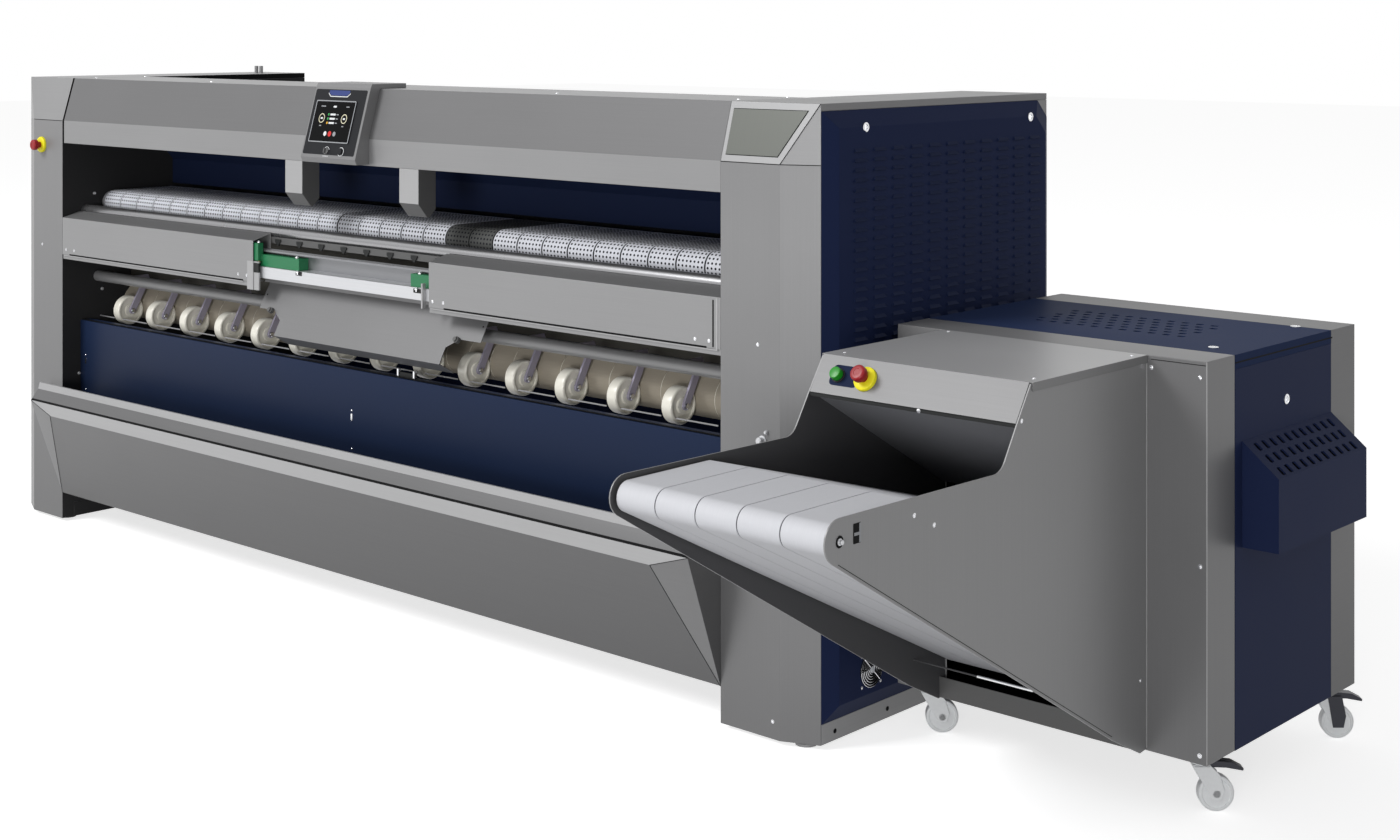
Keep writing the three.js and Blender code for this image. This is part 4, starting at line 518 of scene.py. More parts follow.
# Geometry Nodes: one tree that repeats a unit at the points of a mesh.
def repeat_tree():
    title = "repeat_unit"
    if title in bpy.data.node_groups:
        return bpy.data.node_groups[title]
    tree = bpy.data.node_groups.new(title, "GeometryNodeTree")
    for name, way, kind in (
        ("Places", "INPUT", "Geometry"),
        ("Unit", "INPUT", "Object"),
        ("Size", "INPUT", "Float"),
        ("Finish", "INPUT", "Material"),
        ("Result", "OUTPUT", "Geometry"),
    ):
        tree.interface.new_socket(name, in_out=way, socket_type="NodeSocket" + kind)
    new = tree.nodes.new
    given = new("NodeGroupInput").outputs
    result = new("NodeGroupOutput")
    unit = new("GeometryNodeObjectInfo")
    turn = new("GeometryNodeInputNamedAttribute")
    turn.data_type = "FLOAT_VECTOR"
    turn.inputs["Name"].default_value = "turn"
    euler = new("FunctionNodeEulerToRotation")
    scatter = new("GeometryNodeInstanceOnPoints")
    real = new("GeometryNodeRealizeInstances")
    finish = new("GeometryNodeSetMaterial")
    wire(
        tree,
        (given["Places"], scatter.inputs["Points"]),
        (given["Unit"], unit.inputs["Object"]),
        (unit.outputs["Geometry"], scatter.inputs["Instance"]),
        (turn.outputs["Attribute"], euler.inputs["Euler"]),
        (euler.outputs["Rotation"], scatter.inputs["Rotation"]),
        (given["Size"], scatter.inputs["Scale"]),
        (scatter.outputs["Instances"], real.inputs["Geometry"]),
        (real.outputs["Geometry"], finish.inputs["Geometry"]),
        (given["Finish"], finish.inputs["Material"]),
        (finish.outputs["Geometry"], result.inputs["Result"]),
    )
    return tree


def repeated(name, unit_bm, places, finish, smooth=True):
    """One mesh with a copy of the unit at every place, made by the repeat tree."""
    unit = new_object(name + "_unit", unit_bm, finish, to_row=False)
    unit.data.transform(Matrix.Scale(MM, 4))
    for face in unit.data.polygons:
        face.use_smooth = smooth
    if smooth:
        unit.data.set_sharp_from_angle(angle=SMOOTH_ANGLE)
    mesh = bpy.data.meshes.new(name)
    mesh.from_pydata([TO_ROW @ place.translation for place in places], [], [])
    turn = mesh.attributes.new("turn", "FLOAT_VECTOR", "POINT")
    turn.data.foreach_set("vector", [c for place in places for c in place.to_euler()])
    obj = bpy.data.objects.new(name, mesh)
    bpy.context.scene.collection.objects.link(obj)
    tree = repeat_tree()
    repeat = obj.modifiers.new("repeat", "NODES")
    repeat.node_group = tree
    values = {"Unit": unit, "Size": 1.0, "Finish": material(finish)}
    for item in tree.interface.items_tree:
        if item.item_type == "SOCKET" and item.in_out == "INPUT" and item.name in values:
            repeat[item.identifier] = values[item.name]
    baked(obj)
    bpy.data.objects.remove(unit)
    return obj


def scattered(name, unit_bm, places, body, finish, smooth=True):
    hand_over(repeated(name, unit_bm, places, finish, smooth), body)


def joined(name, parts, finishes):
    """One object from several, each keeping its own finish."""
    bm = bmesh.new()
    for number, part in enumerate(parts):
        first = len(bm.faces)
        bm.from_mesh(part.data)
        bm.faces.ensure_lookup_table()
        for face in bm.faces[first:]:
            face.material_index = number
        bpy.data.objects.remove(part)
    obj = new_object(name, bm, finishes, to_row=False)
    obj.data.set_sharp_from_angle(angle=SMOOTH_ANGLE)
    return obj


# Small parts that come back all over the machine.
def screw_unit(radius=5.0, height=2.2):
    """A round head with a socket; the numbers are shares of its radius and height."""
    shares = [(1.3, 0), (1.3, 0.2), (1, 0.25), (0.92, 0.7), (0.6, 1), (0.3, 1), (0.26, 0.55), (0, 0.55)]
    bm = bmesh.new()
    lathe(bm, [(radius * across, height * up) for across, up in shares], ALONG_Z, 12)
    return bm


def latch_unit():
    bm = bmesh.new()
    lathe(bm, [(13, 0), (13, 2.4), (11.5, 3.4), (7.5, 3.4), (7, 1.6), (0, 1.6)], ALONG_Z, 20)
    block(bm, -6, 6, -1.6, 1.6, 1.4, 3.0)
    return bm


def screws(name, spots, normal, body="ironer", radius=5.0, finish="chrome"):
    """Round-headed screws that look along a normal."""
    places = [facing(spot, normal, 0.4 * i) for i, spot in enumerate(spots)]
    scattered(name, screw_unit(radius), places, body, finish)


def mushroom(node, place):
    """A stop button: a stem under a domed head with a hollow top."""
    dome = [(r, 36.5 + 5.3 * math.sin(math.acos((r - 14) / 6))) for r in (19.4, 18, 16, 14)]
    profile = [(0, 6.5), (11, 6.5), (11, 20), (16.5, 22), (19, 23.4), (20, 26), (20, 36.5)] + dome
    profile += [(9, 41.9), (8.4, 41.0), (0, 41.0)]
    rebuilt(node, "stop_red", (lathe, profile, place, 40))


def collar(node, place):
    """The raised ring round a stop button."""
    profile = [(11.5, 0.4), (30, 0.4), (30, 4.5), (29, 7.5), (26, 9.6), (17, 10), (11.5, 10), (11.5, 0.4)]
    rebuilt(node, "stop_yellow", (lathe, profile, place, 48))


# The ironer's end housings.
def faces_bay(side, face):
    """Whether a face of a housing lies on the bay's side."""
    off = abs((face.center.x + ROW_ORIGIN.x * MM) * side - HALF_BAY * MM)
    return int(face.normal.x * side < -SQUARE and off < BAY_NEAR)


def cap_part(side, face):
    """Painted shade: dark towards the bay, and a deeper steel on the right cap's outer side and top."""
    if faces_bay(side, face):
        return 1
    return 2 * int(side > 0 and max(face.normal.x, face.normal.z) > SQUARE)


def build_housings(sizes):
    for word, side, depth, thickness, inset in (("left", -1, 0.3, 0.3, 2.9), ("right", 1, 6.5, 0.9, 0)):
        inwards = partial(faces_bay, side)
        # Painted shade: the walls facing the bay take bay_dark, a dark copy of the steel, and the left base
        # a darker steel than the right.
        dress(word + "_housing", ("column", "bay_dark"), 1.2, inwards)
        dress(word + "_base", ("steel_shade" if side < 0 else "steel", "bay_dark"), 1.0, inwards)
        dress(word + "_side_panel", "navy", 1.2)
        dress(word + "_top_cover", ("steel", "rubber", "steel_mid"), 1.2, partial(cap_part, side))
        face = side * SIDE_FACE
        bm = bmesh.new()
        half = sizes.louvre_length / MM / 2
        outline = [(-half, -5), (-half + 7, 5), (half - 7, 5), (half, -5)]
        low = [bm.verts.new((u, v, 0)) for u, v in outline]
        lip = [bm.verts.new((u * 0.93, -4, depth)) for u in (-half, half)]
        bm.faces.new((low[0], lip[0], lip[1], low[3]))
        bm.faces.new((low[0], low[1], lip[0]))
        bm.faces.new((low[1], low[2], lip[1], lip[0]))
        bm.faces.new((low[2], low[3], lip[1]))
        turn = Matrix.Rotation(side * math.pi / 2, 4, "Z") @ Matrix.Rotation(math.pi / 2, 4, "X")
        spots = [
            Matrix.Translation((face, 178 + 83 * column, 1540 - sizes.louvre_pitch / MM * row)) @ turn
            for column in range(11)
            for row in range(sizes.louvre_rows)
        ]
        scattered(word + "_louvres", bm, spots, "ironer", "navy_louvre", smooth=False)
        slit = bmesh.new()
        block(slit, -half * 0.86, half * 0.86, -6.4, -4.2, 0, thickness)
        scattered(word + "_louvre_slits", slit, spots, "ironer", "navy_deep", smooth=False)
        latches = [facing((face - inset * side, y, 1599), (side, 0, 0)) for y in (201, 987)]
        scattered(word + "_panel_latches", latch_unit(), latches, "ironer", "chrome")
    # Dark seams: under the caps, up the right cap's corner, round the badge and beside the canopy.
    corner = (1855, -0.2, CAP_LEVEL)
    badge_field = on_slope(HALF_BAY, 0, CAP_LEVEL, 45, 159)
    made(
        "cap_seams", "ironer", "rubber",
        (block, -1853, -1651, -0.4, 0.3, CAP_LEVEL - 1.2, CAP_LEVEL + 1),
        (block, 1651, 1855, -0.4, 0.3, CAP_LEVEL - 1.2, CAP_LEVEL + 1),
        (rod, [corner, (1955.2, 44.8, 1664)], 1.2, 6),
        (rod, [corner, (1955.2, 44.8, CAP_LEVEL)], 1.0, 6),
        (prism, [(4, 1424), (4, CAP_LEVEL), (48, 1658), (62, 1658), (62, 1424)], -1649.6, -1639.4),
        (prism, [(13.4, 18.4), (194, 18.4), (271, 146), (13.4, 146)], 0.05, 0.25, badge_field),
    )
    # Column screws, the fan guard and the base rail's holes.
    screws("column_screws", [(1780, 0, 1031.6), (-1793.5, 0, 1032), (1831, 0, 58)], FRONT, radius=4)
    fan_y, fan_z = 225, 173
    bm = bmesh.new()
    for radius in (12, 19, 26, 33, 40, 46):
        rod(bm, [(SIDE_FACE + 3, y, z) for y, z in loop((fan_y, fan_z), radius)], 1.0, 6, True)
    reach = 46 * math.cos(math.radians(45))
    for side in (1, -1):
        ends = [(SIDE_FACE + 3.6, fan_y + side * part, fan_z + part) for part in (-reach, reach)]
        rod(bm, ends, 1.1, 6)
    fan = facing((SIDE_FACE, fan_y, fan_z), RIGHT)
    lathe(bm, [(0, 6), (9, 6), (10, 0)], fan, 20)
    piece("fan_guard", bm, "ironer", "chrome")
    made("fan_opening", "ironer", "rubber", (lathe, [(0, 0.8), (47, 0.8), (47, 0)], fan, 36))
    corners = [(SIDE_FACE, fan_y + dy, fan_z + dz) for dy in (-40, 40) for dz in (-40, 40)]
    screws("fan_bolts", corners, RIGHT, radius=3)
    screws("base_bolts", [(1955, 103.4, 36), (1955, 329.4, 37)], RIGHT, radius=5, finish="rubber")
    dress("badge_plate", "badge", 0.6)
    knob = [(13, 0), (13, 2), (9, 3), (8, 10), (10, 12), (10, 16), (7, 19), (0, 20)]
    made(
        "column_hook", "ironer", "aluminium",
        (lathe, knob, facing((1796, 0, 783), FRONT), 24),
        (lathe, [(6, 0), (6, 3), (5, 7), (3, 9), (0, 9)], facing((1811, 0, 806), FRONT), 18),
    )
    stud = [(6, 0), (6, 4), (4, 7), (0, 7)]
    spots = [(-HALF_BAY, y, z) for y, z in ((133.5, 1225), (166.5, 859), (68.5, 549))]
    studs = [(lathe, stud, facing(spot, RIGHT), 16) for spot in spots]
    made("bay_wall_fittings", "ironer", "aluminium", *studs)


def canopy_part(face):
    """Painted shade: a darker steel on the slope over the bay."""
    return int(0.1 < face.normal.z < 0.5)


def leg_part(face):
    """Painted light and shade: the front a lit steel, a deep shade on the side to the right, a lesser one
    underneath.
    """
    return 1 if face.normal.x > SQUARE else 2 * int(face.normal.z < -0.2)


def build_canopy():
    dress("canopy", ("steel", "steel_slope"), 1.2, canopy_part)
    for word in ("left", "right"):
        dress(word + "_canopy_leg", ("steel_light", "steel_shade", "steel_low"), 1.2, leg_part)
    spots = [(x, 120, 1664) for x in (-1610, -860, 900, 1610)] + [(x, 330, 1664) for x in (-1610, 1610)]
    screws("canopy_screws", spots, UP, radius=5)


def on_panel(x, height):
    """A place on the touch panel's sloping face."""
    foot_y, foot_z, lean, rise = -57, 1443, 63, 224
    return on_slope(x, foot_y + lean / rise * (height - foot_z), height, lean, rise)


def build_touch_panel():
    dress("touch_panel_housing", "steel_mid", 1.2)
    flat = on_panel(34, 1555)
    # What the screen shows is drawn at full size, then shrunk about the screen's middle.
    middle = Matrix.Translation((-13, 2, 0))
    shown = flat @ middle @ Matrix.Diagonal((0.78, 0.82, 1, 1)) @ middle.inverted()
    made("panel_face", "ironer", "panel_face", (prism, rounded(-133, 129, -106, 108, 6), 0.02, 0.28, flat))
    left, right, low, high = -115, 89, -67.5, 71.5
    made(
        "touch_screen_glass", "ironer", "glass",
        (prism, rounded(left, right, low, high, 5), 0.3, 3.1, flat),
        bevel=0.5, nodes=("touch_screen",),
    )
    # A thin grey bezel round the display.
    outer = rounded(left + 0.5, right - 0.5, low + 0.5, high - 0.5, 4.5)
    inner = rounded(left + 4, right - 4, low + 4, high - 4, 3)
    made("screen_bezel", "ironer", "mark_grey", (ring_prism, outer, inner, 3.0, 3.3, flat))
    recess = [(-62, 96), (-50, 88), (30, 88), (42, 96), (42, 105), (-62, 105)]
    made("panel_recess", "ironer", "panel_blue", (prism, recess, 0.2, 0.5, flat))
    edge = [(-66, 97), (-52, 86), (32, 86), (46, 97), (46, 94), (33, 83.4), (-53, 83.4), (-66, 94)]
    made("panel_recess_edge", "ironer", "mark_white", (prism, edge, 0.2, 0.5, flat))
    rings = [(ring_prism, loop((x, 14), 19), loop((x, 14), 15.5), 3.1, 3.35, shown) for x in (-86, 60)]
    made("screen_rings", "ironer", "mark_cream", *rings)
    marks = {"mark_white": [], "mark_red": [], "mark_grey": [], "mark_green": [], "mark_amber": []}
    marks["mark_white"].append(loop((-43, -47), 9.5, 24))
    marks["mark_red"].append(loop((-13, -47), 11, 24))
    marks["mark_grey"].append(loop((17, -47), 9.5, 24))
    for i, dot in enumerate(("mark_green", "mark_green", "mark_amber")):
        y = 30 - 17 * i
        marks[dot].append(arc((-45, y), 5, 0, 345, 15))
        marks["mark_white"].append(rounded(-34, 0, y - 3.6, y + 3.6, 1.5))
        marks["mark_grey"].append(rounded(6, 20, y - 2, y + 2, 1))
    for x in (-86, 60):
        marks["mark_white"].append(rounded(x - 7, x + 7, 10.5, 17.5, 2))
        marks["mark_grey"].append(rounded(x - 6, x + 6, -18, -14, 1))
    marks["mark_grey"].append(rounded(left + 10, left + 40, 60, 64, 1))
    marks["mark_grey"].append(rounded(right - 30, right - 10, 60, 64, 1))
    marks["mark_white"].append(rounded(-24, -4, 58, 65, 1))
    for finish, outlines in marks.items():
        made("screen_" + finish, "ironer", finish, *((prism, line, 3.1, 3.4, shown) for line in outlines))
    # Key switch with its blade, and the push button.
    key = on_panel(21, 1465)
    rebuilt(
        "panel_key_switch", "steel_low",
        (lathe, [(0, 0.4), (11, 0.4), (11, 3.5), (9.5, 5), (0, 5)], key, 32),
        (block, -1.5, 1.5, -8, 8, 4.5, 12, key),
    )
    button = on_panel(95, 1465)
    rebuilt(
        "panel_button", "panel_face",
        (lathe, [(0, -2), (4, -2), (4, 2.5), (11, 2.5), (11, 6.6), (9.6, 8), (0, 8)], button, 32),
    )
    made(
        "switch_surrounds", "ironer", "mark_white",
        (ring_prism, loop((0, 0), 14.5, 36), loop((0, 0), 12.6, 36), 0.2, 1.4, button),
        (ring_prism, arc((0, 0), 14.5, 20, 160, 15), arc((0, 0), 13, 20, 160, 15), 0.2, 0.6, key),
        (block, -14, 14, -17.5, -16, 0.2, 0.6, key),
    )


def build_feed_bed(sizes):
    nose_y, drive_y, level, radius = 205, 450, 1190, 45
    belt_count, belt_pitch, belt_width, first = 29, 109.7, 104.6, -1620
    centres = [(nose_y, level), (drive_y, level)]
    outer = belt_outline(centres, radius, 28)
    inner = belt_outline(centres, radius - 1.6, 28)
    unit = bmesh.new()
    ring_prism(unit, outer, inner, 1.0, belt_width)
    shift = Vector((0, nose_y, level))
    unit.transform(Matrix.Translation(-shift))
    dark = (18, 19)
    starts = [first + belt_pitch * i for i in range(belt_count)]
    belt_places = [Matrix.Translation(Vector((x, 0, 0)) + shift) for x in starts]
    white_places = [place for i, place in enumerate(belt_places) if i not in dark]
    dark_places = [belt_places[i] for i in dark]
    copy = unit.copy()
    parts = [
        repeated("belts_white", unit, white_places, "belt_white"),
        repeated("belts_dark", copy, dark_places, "belt_dark"),
    ]
    core = bmesh.new()
    ring_prism(core, belt_outline(centres, 43.2, 28), belt_outline(centres, 42.0, 28), -1619, 1555)
    parts.append(new_object("belts_core", core, "belt_core"))
    for face in parts[-1].data.polygons:
        face.use_smooth = True
    skin = joined("feed_belts_skin", parts, ("belt_white", "belt_dark", "belt_core"))
    hand_over(skin, "ironer", ("feed_belts",))
    # One gap between two belts is wider than the others.
    wide = starts[13]
    made(
        "wide_gap", "ironer", "rubber",
        (ring_prism, belt_outline(centres, 45.3, 28), belt_outline(centres, 44, 28), wide - 6, wide + 1),
    )
    # Perforations: rows along the belt, seven across each.
    pitch = sizes.belt_dot_pitch / MM
    step = math.degrees(pitch / radius)
    angles = [math.radians(step * k) for k in range(int(150 / step))]
    rows = [(nose_y - radius * math.sin(a), level + radius * math.cos(a), a) for a in angles]
    rows += [(nose_y + pitch * (k + 1), level + radius, 0) for k in range(16)]
    dot = bmesh.new()
    dot_radius = sizes.belt_dot_size / MM / 2
    lathe(dot, [(dot_radius, 0), (dot_radius, 0.35), (0, 0.35)], ALONG_Z, 8)
    places = []
    for left in starts:
        for y, z, tilt in rows:
            normal = (0, -math.sin(tilt), math.cos(tilt))
            for column in range(-3, 4):
                x = left + 52.85 + column * 14.6
                places.append(facing((x, y, z), normal))
    scattered("belt_perforations", dot, places, "ironer", "belt_dot")
    for node, centre in (("feed_nose_roller", centres[0]), ("feed_drive_roller", centres[1])):
        rebuilt(node, "aluminium", (lathe, roller(12, 41.0, ROLLER_END, JOURNAL_END), axle(*centre), 40))
    wall = [(20, -BAY_END), (22, -BAY_END), (22, BAY_END), (20, BAY_END)]
    rebuilt("guide_tube", "tube", (lathe, wall, axle(100, 1163), 64))


def rail_part(face):
    """The web is what stands up behind the rail's front edge, but for its top."""
    return int(face.center.y > -0.06 and face.center.z > 1.05 and face.normal.z < SQUARE)


def build_clamp_rail():
    dress("clamp_rail", ("aluminium", "rail_web"), 0.8, rail_part)
    for word in ("left", "right"):
        # Painted shade: the covers' sloping tops take a darker steel.
        dress(word + "_rail_cover", ("steel", "steel_mid"), 1.2, lambda f: int(f.normal.z > 0.3))
        dress(word + "_clamp_carriage", "clamp_green", 1.5)
    spots = [-1623.5, -1567.5, -528.5, -479.5, 478.5, 527.5, 1558.5, 1608.5]
    screws("cover_screws", [(x, 0, 1023.5) for x in spots], FRONT, radius=4)
    # Lower edges of the covers: a dark groove over a thin strip of painted highlight.
    made(
        "cover_grooves", "ironer", "rubber",
        (block, -1600, -500, -0.4, 0.3, 1003, 1008),
        (block, 530, 1600, -0.4, 0.3, 1003, 1008),
        (block, 1621, 1626, -0.4, 0.3, 1008, 1134),
    )
    made(
        "cover_edges", "ironer", "steel_light",
        (block, -1640, -500, -1.2, 0.2, 999.5, 1002.6),
        (block, 470, 1640, -1.2, 0.2, 999.5, 1002.6),
        (block, 1634, 1640, -0.8, 0.2, 1003, 1140),
    )
    # Small hooks behind the rail that hold the linen's edge.
    hook = bmesh.new()
    prism(hook, [(-15, 0), (15, 0), (15, -5), (3, -21), (-3, -21), (-15, -9)], 0, 6, ALONG_Y)
    places = [Matrix.Translation((x, 68, 1144)) for x in range(-400, 430, 118)]
    scattered("linen_hooks", hook, places, "ironer", "dark", smooth=False)
    made("hook_bar", "ironer", "steel_shade", (block, -445, 460, 72, 75, 1128, 1150), bevel=0.8)
    # Fittings in the gap between the covers.
    made(
        "rail_brackets", "ironer", "steel_light",
        (block, -476.5, -443, -1, 9, 977, 1073),
        (block, -470, -450, 8, 15.4, 1022, 1048),
        (block, -443, -414.5, 2, 9, 977, 1036),
        (block, -443, -414.5, 2, 9, 1068, 1073),
        (block, 421, 428, 2, 15.4, 996, 1073),
        bevel=1,
    )
    made(
        "rail_tabs", "ironer", "dark",
        (block, -443.5, -418, 3, 9, 1035, 1069),
        (block, -226, -196, 12.6, 15.3, 1043, 1056),
        (block, 372, 410, 12.6, 15.3, 1040, 1053),
        bevel=0.6,
    )
    # Knurled clamp screws: two on the rail, one on each carriage and one on the left clamp.
    knurled = [(0, -5), (3.2, -5), (3.2, 1), (6.5, 1), (6.5, 4.5), (4, 6), (4, 7.5), (0, 7.5)]
    for body, spots in (
        ("ironer", [(-211, 9.5, 1052), (391, 9.5, 1050)]),
        ("left_clamp_carriage", [(-240, 29, 1096), (-434, 17, 1134)]),
        ("right_clamp_carriage", [(385, 29, 1096)]),
    ):
        made(body + "_screws", body, "chrome", *((lathe, knurled, facing(spot, UP), 14) for spot in spots))
    made(
        "clamp_tip", "left_clamp_carriage", "brass",
        (lathe, [(0, 0), (5, 1), (6, 9.5), (0, 9.5)], facing((-434, 17, 1066), UP), 14),
    )


def trough_part(face):
    """Painted light and shade: a lit lip and lower band and lighter facets at the ends, the main face a
    shaded steel; a dark groove between the bands.
    """
    middle, normal = face.center, face.normal
    lip, band, groove = 0.515, (0.44, 0.47), (0.4752, 0.4808)  # levels in metres
    if middle.z > lip or normal.y < -0.98 and band[0] < middle.z < band[1]:
        return 2
    if abs(normal.x) > 0.05 and normal.y < -0.2:
        return 3
    return int(groove[0] < middle.z < groove[1] and normal.y < -0.5)


def bar_part(face):
    """The round bar, but for its ends, lies in front of the arms."""
    return int(face.center.y < 0.1035 and abs(face.normal.x) < 0.5)


def build_press_section():
    dress("deflector_plate", "steel_mid", 1.0)
    dress("wheel_frame", ("arm_steel", "steel"), 0.8, bar_part, crease=SMOOTH_ANGLE)
    first, pitch, wheels, radius, half = -1520, 218, 14, 54, 20
    centres = [first + pitch * i for i in range(wheels)]
    shaft_y, shaft_z = 200, 787
    side = [(46, half), (44.5, half - 5.5), (24, half - 6.5), (22, half - 1), (15, half - 0.4)]
    right_half = wheel_rim(radius, half, 6, 5) + side
    stub = [(8, half - 0.4), (8, half + 2.8), (0, half + 2.8)]
    bm = bmesh.new()
    for x in centres:
        profile = [(r, x - t) for r, t in reversed(right_half)] + [(r, x + t) for r, t in right_half + stub]
        lathe(bm, [(0, x - half + 0.4)] + profile, axle(shaft_y, shaft_z), 40)
    piece("press_wheels_skin", bm, "press_wheels", "cream", nodes=("press_wheels",))
    bolt = bmesh.new()
    lathe(bolt, [(8.5, 0), (8.5, 3.4), (7, 4.6), (0, 4.6)], ALONG_Z, 12)
    bolts = [facing((x + 31.2, shaft_y, shaft_z), RIGHT) for x in centres]
    scattered("wheel_bolts", bolt, bolts, "ironer", "chrome")
    centre = (315.77, 800)
    rebuilt("delivery_roller", "cream", (lathe, roller(15, 62, ROLLER_END, JOURNAL_END), axle(*centre), 48))
    # Pale belts that bring the linen down to the delivery roller.
    strip = bmesh.new()
    line = arc(centre, 63.0, 262, 140, 14)
    reach, lean = 58, (0.643, 0.766)
    line.append((line[-1][0] + lean[0] * reach, line[-1][1] + lean[1] * reach))
    back = arc(centre, 62.3, 262, 140, 14)
    back.append((line[-1][0] + 0.6, line[-1][1] - 0.5))
    ring = list(zip(line, back))
    for (front, behind), (front_next, behind_next) in zip(ring, ring[1:]):
        prism(strip, [front, behind, behind_next, front_next], 0, 102)
    bmesh.ops.remove_doubles(strip, verts=strip.verts, dist=0.01)
    strip.transform(Matrix.Translation((0, -300, -850)))
    places = [Matrix.Translation((-1640 + 105 * i, 300, 850)) for i in range(31)]
    scattered("delivery_belts", strip, places, "ironer", "belt_beige")
    # The dark sheet behind the bar, and the channel and its bright edge by the wheels.
    made("inner_shield", "ironer", "shield", (block, -1646, 1646, 290, 292, 900, 1110))
    made(
        "wheel_channel", "ironer", "rubber",
        (prism, [(78, 752), (140, 740), (140, 742), (78, 754)], -1640, 1640),
    )
    edge = bmesh.new()
    block(edge, -79, 79, 158, 160, 756, 760)
    # Between the wheels, and one more at the right end.
    gaps = [x - pitch / 2 for x in centres] + [1422]
    edges = [Matrix.Translation((x, 0, 0)) for x in gaps]
    scattered("channel_edge", edge, edges, "ironer", "aluminium", smooth=False)
    brackets = [(block, x, x + 7, 84, 96, 748, 778) for x in (206, 284)]
    made("channel_brackets", "ironer", "chrome", *brackets, bevel=1)
    made("channel_block", "ironer", "dark", (block, 214, 283, 88, 95, 750, 768), bevel=1)
    off_plate = (0, -0.889, 0.458)
    bumper = [(0, -3), (10, -3), (10, 8), (7, 10), (7, 15), (0, 15)]
    bumpers = [(lathe, bumper, facing((x, 34, 909), off_plate), 20) for x in (-387, 554)]
    made("deflector_bumpers", "ironer", "steel_shade", *bumpers)
    spots = [(-448, 62.6, 955), (640, 62.6, 955)]
    screws("deflector_holes", spots, off_plate, radius=3, finish="rubber")


def build_lower_body():
    dress("lower_panel", "navy_front", 1.2)
    dress("trough_cover", ("steel_low", "rubber", "steel_light", "steel_mid"), 0.8, trough_part)
    # Painted shade: dark lines along the creases round the cut ends of the trough's main face.
    cut_end = 136
    bm = bmesh.new()
    for end in (-BAY_END, BAY_END):
        knee = (end * (1 - cut_end / BAY_END), -130.2, 433)
        rod(bm, [knee, (end, -0.2, 110)], 0.9, 6)
        rod(bm, [knee, (end, -130.2, 475)], 0.9, 6)
    piece("trough_creases", bm, "ironer", "rubber")
    dress("roll_hood", "navy_deep", 1.0)
    dress("rear_panel", "navy", 1.0)
    half = [(240, 1638), (236, ROLLER_END), (40, ROLLER_END), (40, JOURNAL_END), (0, JOURNAL_END)]
    profile = [(r, -x) for r, x in reversed(half)] + half
    rebuilt("heated_roll", "roll", (lathe, profile, axle(720, 1050), 72))
    spots = [(-1611, 75, 492), (-10.5, 75, 494), (-1611, 75, 622), (-10.5, 75, 618)]
    screws("lower_panel_screws", spots, FRONT, radius=2.6)
    bm = bmesh.new()
    for x, z in ((-1611, 600), (-10.5, 596)):
        prism(bm, rounded(x - 4, x + 4, z - 12, z + 12, 3.9), 73.6, 75, ALONG_Y)
    piece("lower_panel_keyholes", bm, "ironer", "chrome")


def build_ironer_stop():
    place = on_slope(-1796, 0, 1410, lean=0, rise=1)
    collar("ironer_stop_collar", place)
    mushroom("ironer_stop_button", place)


def build_stacker():
    # Painted shade: both frames take darker copies of the steel.
    dress("stacker_front_frame", "frame", 2.5)
    dress("stacker_rear_frame", "steel_low", 1.2)
    dress("stacker_left_panel", "navy", 0.8)
    dress("stacker_right_panel", "navy", 0.8)
    # The top panel with its field of oblong holes.
    holes = bmesh.new()
    for row in range(6):
        for column in range(11):
            x = 2294 + 41.5 * column - (20 if row % 2 else 0)
            y = 545.5 + 42.2 * row
            prism(holes, rounded(x - 10, x + 10, y - 9, y + 9, 6), 1080, 1092, ALONG_Z)
    top = cut_by(node_copy("stacker_top_panel", "navy_top"), holes)
    hand_over(top, "stacker", ("stacker_top_panel",))
    # A black sheet just under the holes: painted shade behind them.
    made("top_panel_baffle", "stacker", "rubber", (block, 2250, 2740, 500, 800, 1076, 1077))
    # The exhaust hood with three rows of slots in its slope.
    slots = bmesh.new()
    run, drop = 93.7, 78
    fall = drop / run
    for x, z in ((2963.5, 861), (2992.5, 837), (3022.5, 812)):
        for column in range(11):
            y = 452 + 39.5 * column
            place = Matrix.Translation((x, y, z)) @ Matrix.Rotation(math.atan(fall), 4, "Y")
            prism(slots, rounded(-12, 12, -9, 9, 4), -9, 9, place)
    hood = cut_by(node_copy("exhaust_hood", "navy"), slots)
    hand_over(hood, "stacker", ("exhaust_hood",))
    # A black sheet just inside the slope, sheared to its fall: painted shade behind the slots.
    inside = Matrix(((0, 1, 0, 0), (1, 0, 0, 0), (0, -fall, 1, 878 + 2943.3 * fall), (0, 0, 0, 1)))
    made(
        "exhaust_baffle", "stacker", "rubber",
        (prism, [(416, 2946), (888, 2946), (888, 3027), (416, 3027)], -14, -13, inside),
    )
    latches = [facing((2856, 433.5, 1087), UP), facing((2852, 881, 1087), UP)]
    latches.append(facing((2943, 641.5, 946), RIGHT))
    scattered("stacker_latches", latch_unit(), latches, "stacker", "chrome")
    spots = [(2798.5, 238, 1058), (2924.5, 238, 1048), (2925.5, 238, 610), (2924.5, 238, 171)]
    screws("front_frame_screws", spots, FRONT, "stacker", radius=4.5)


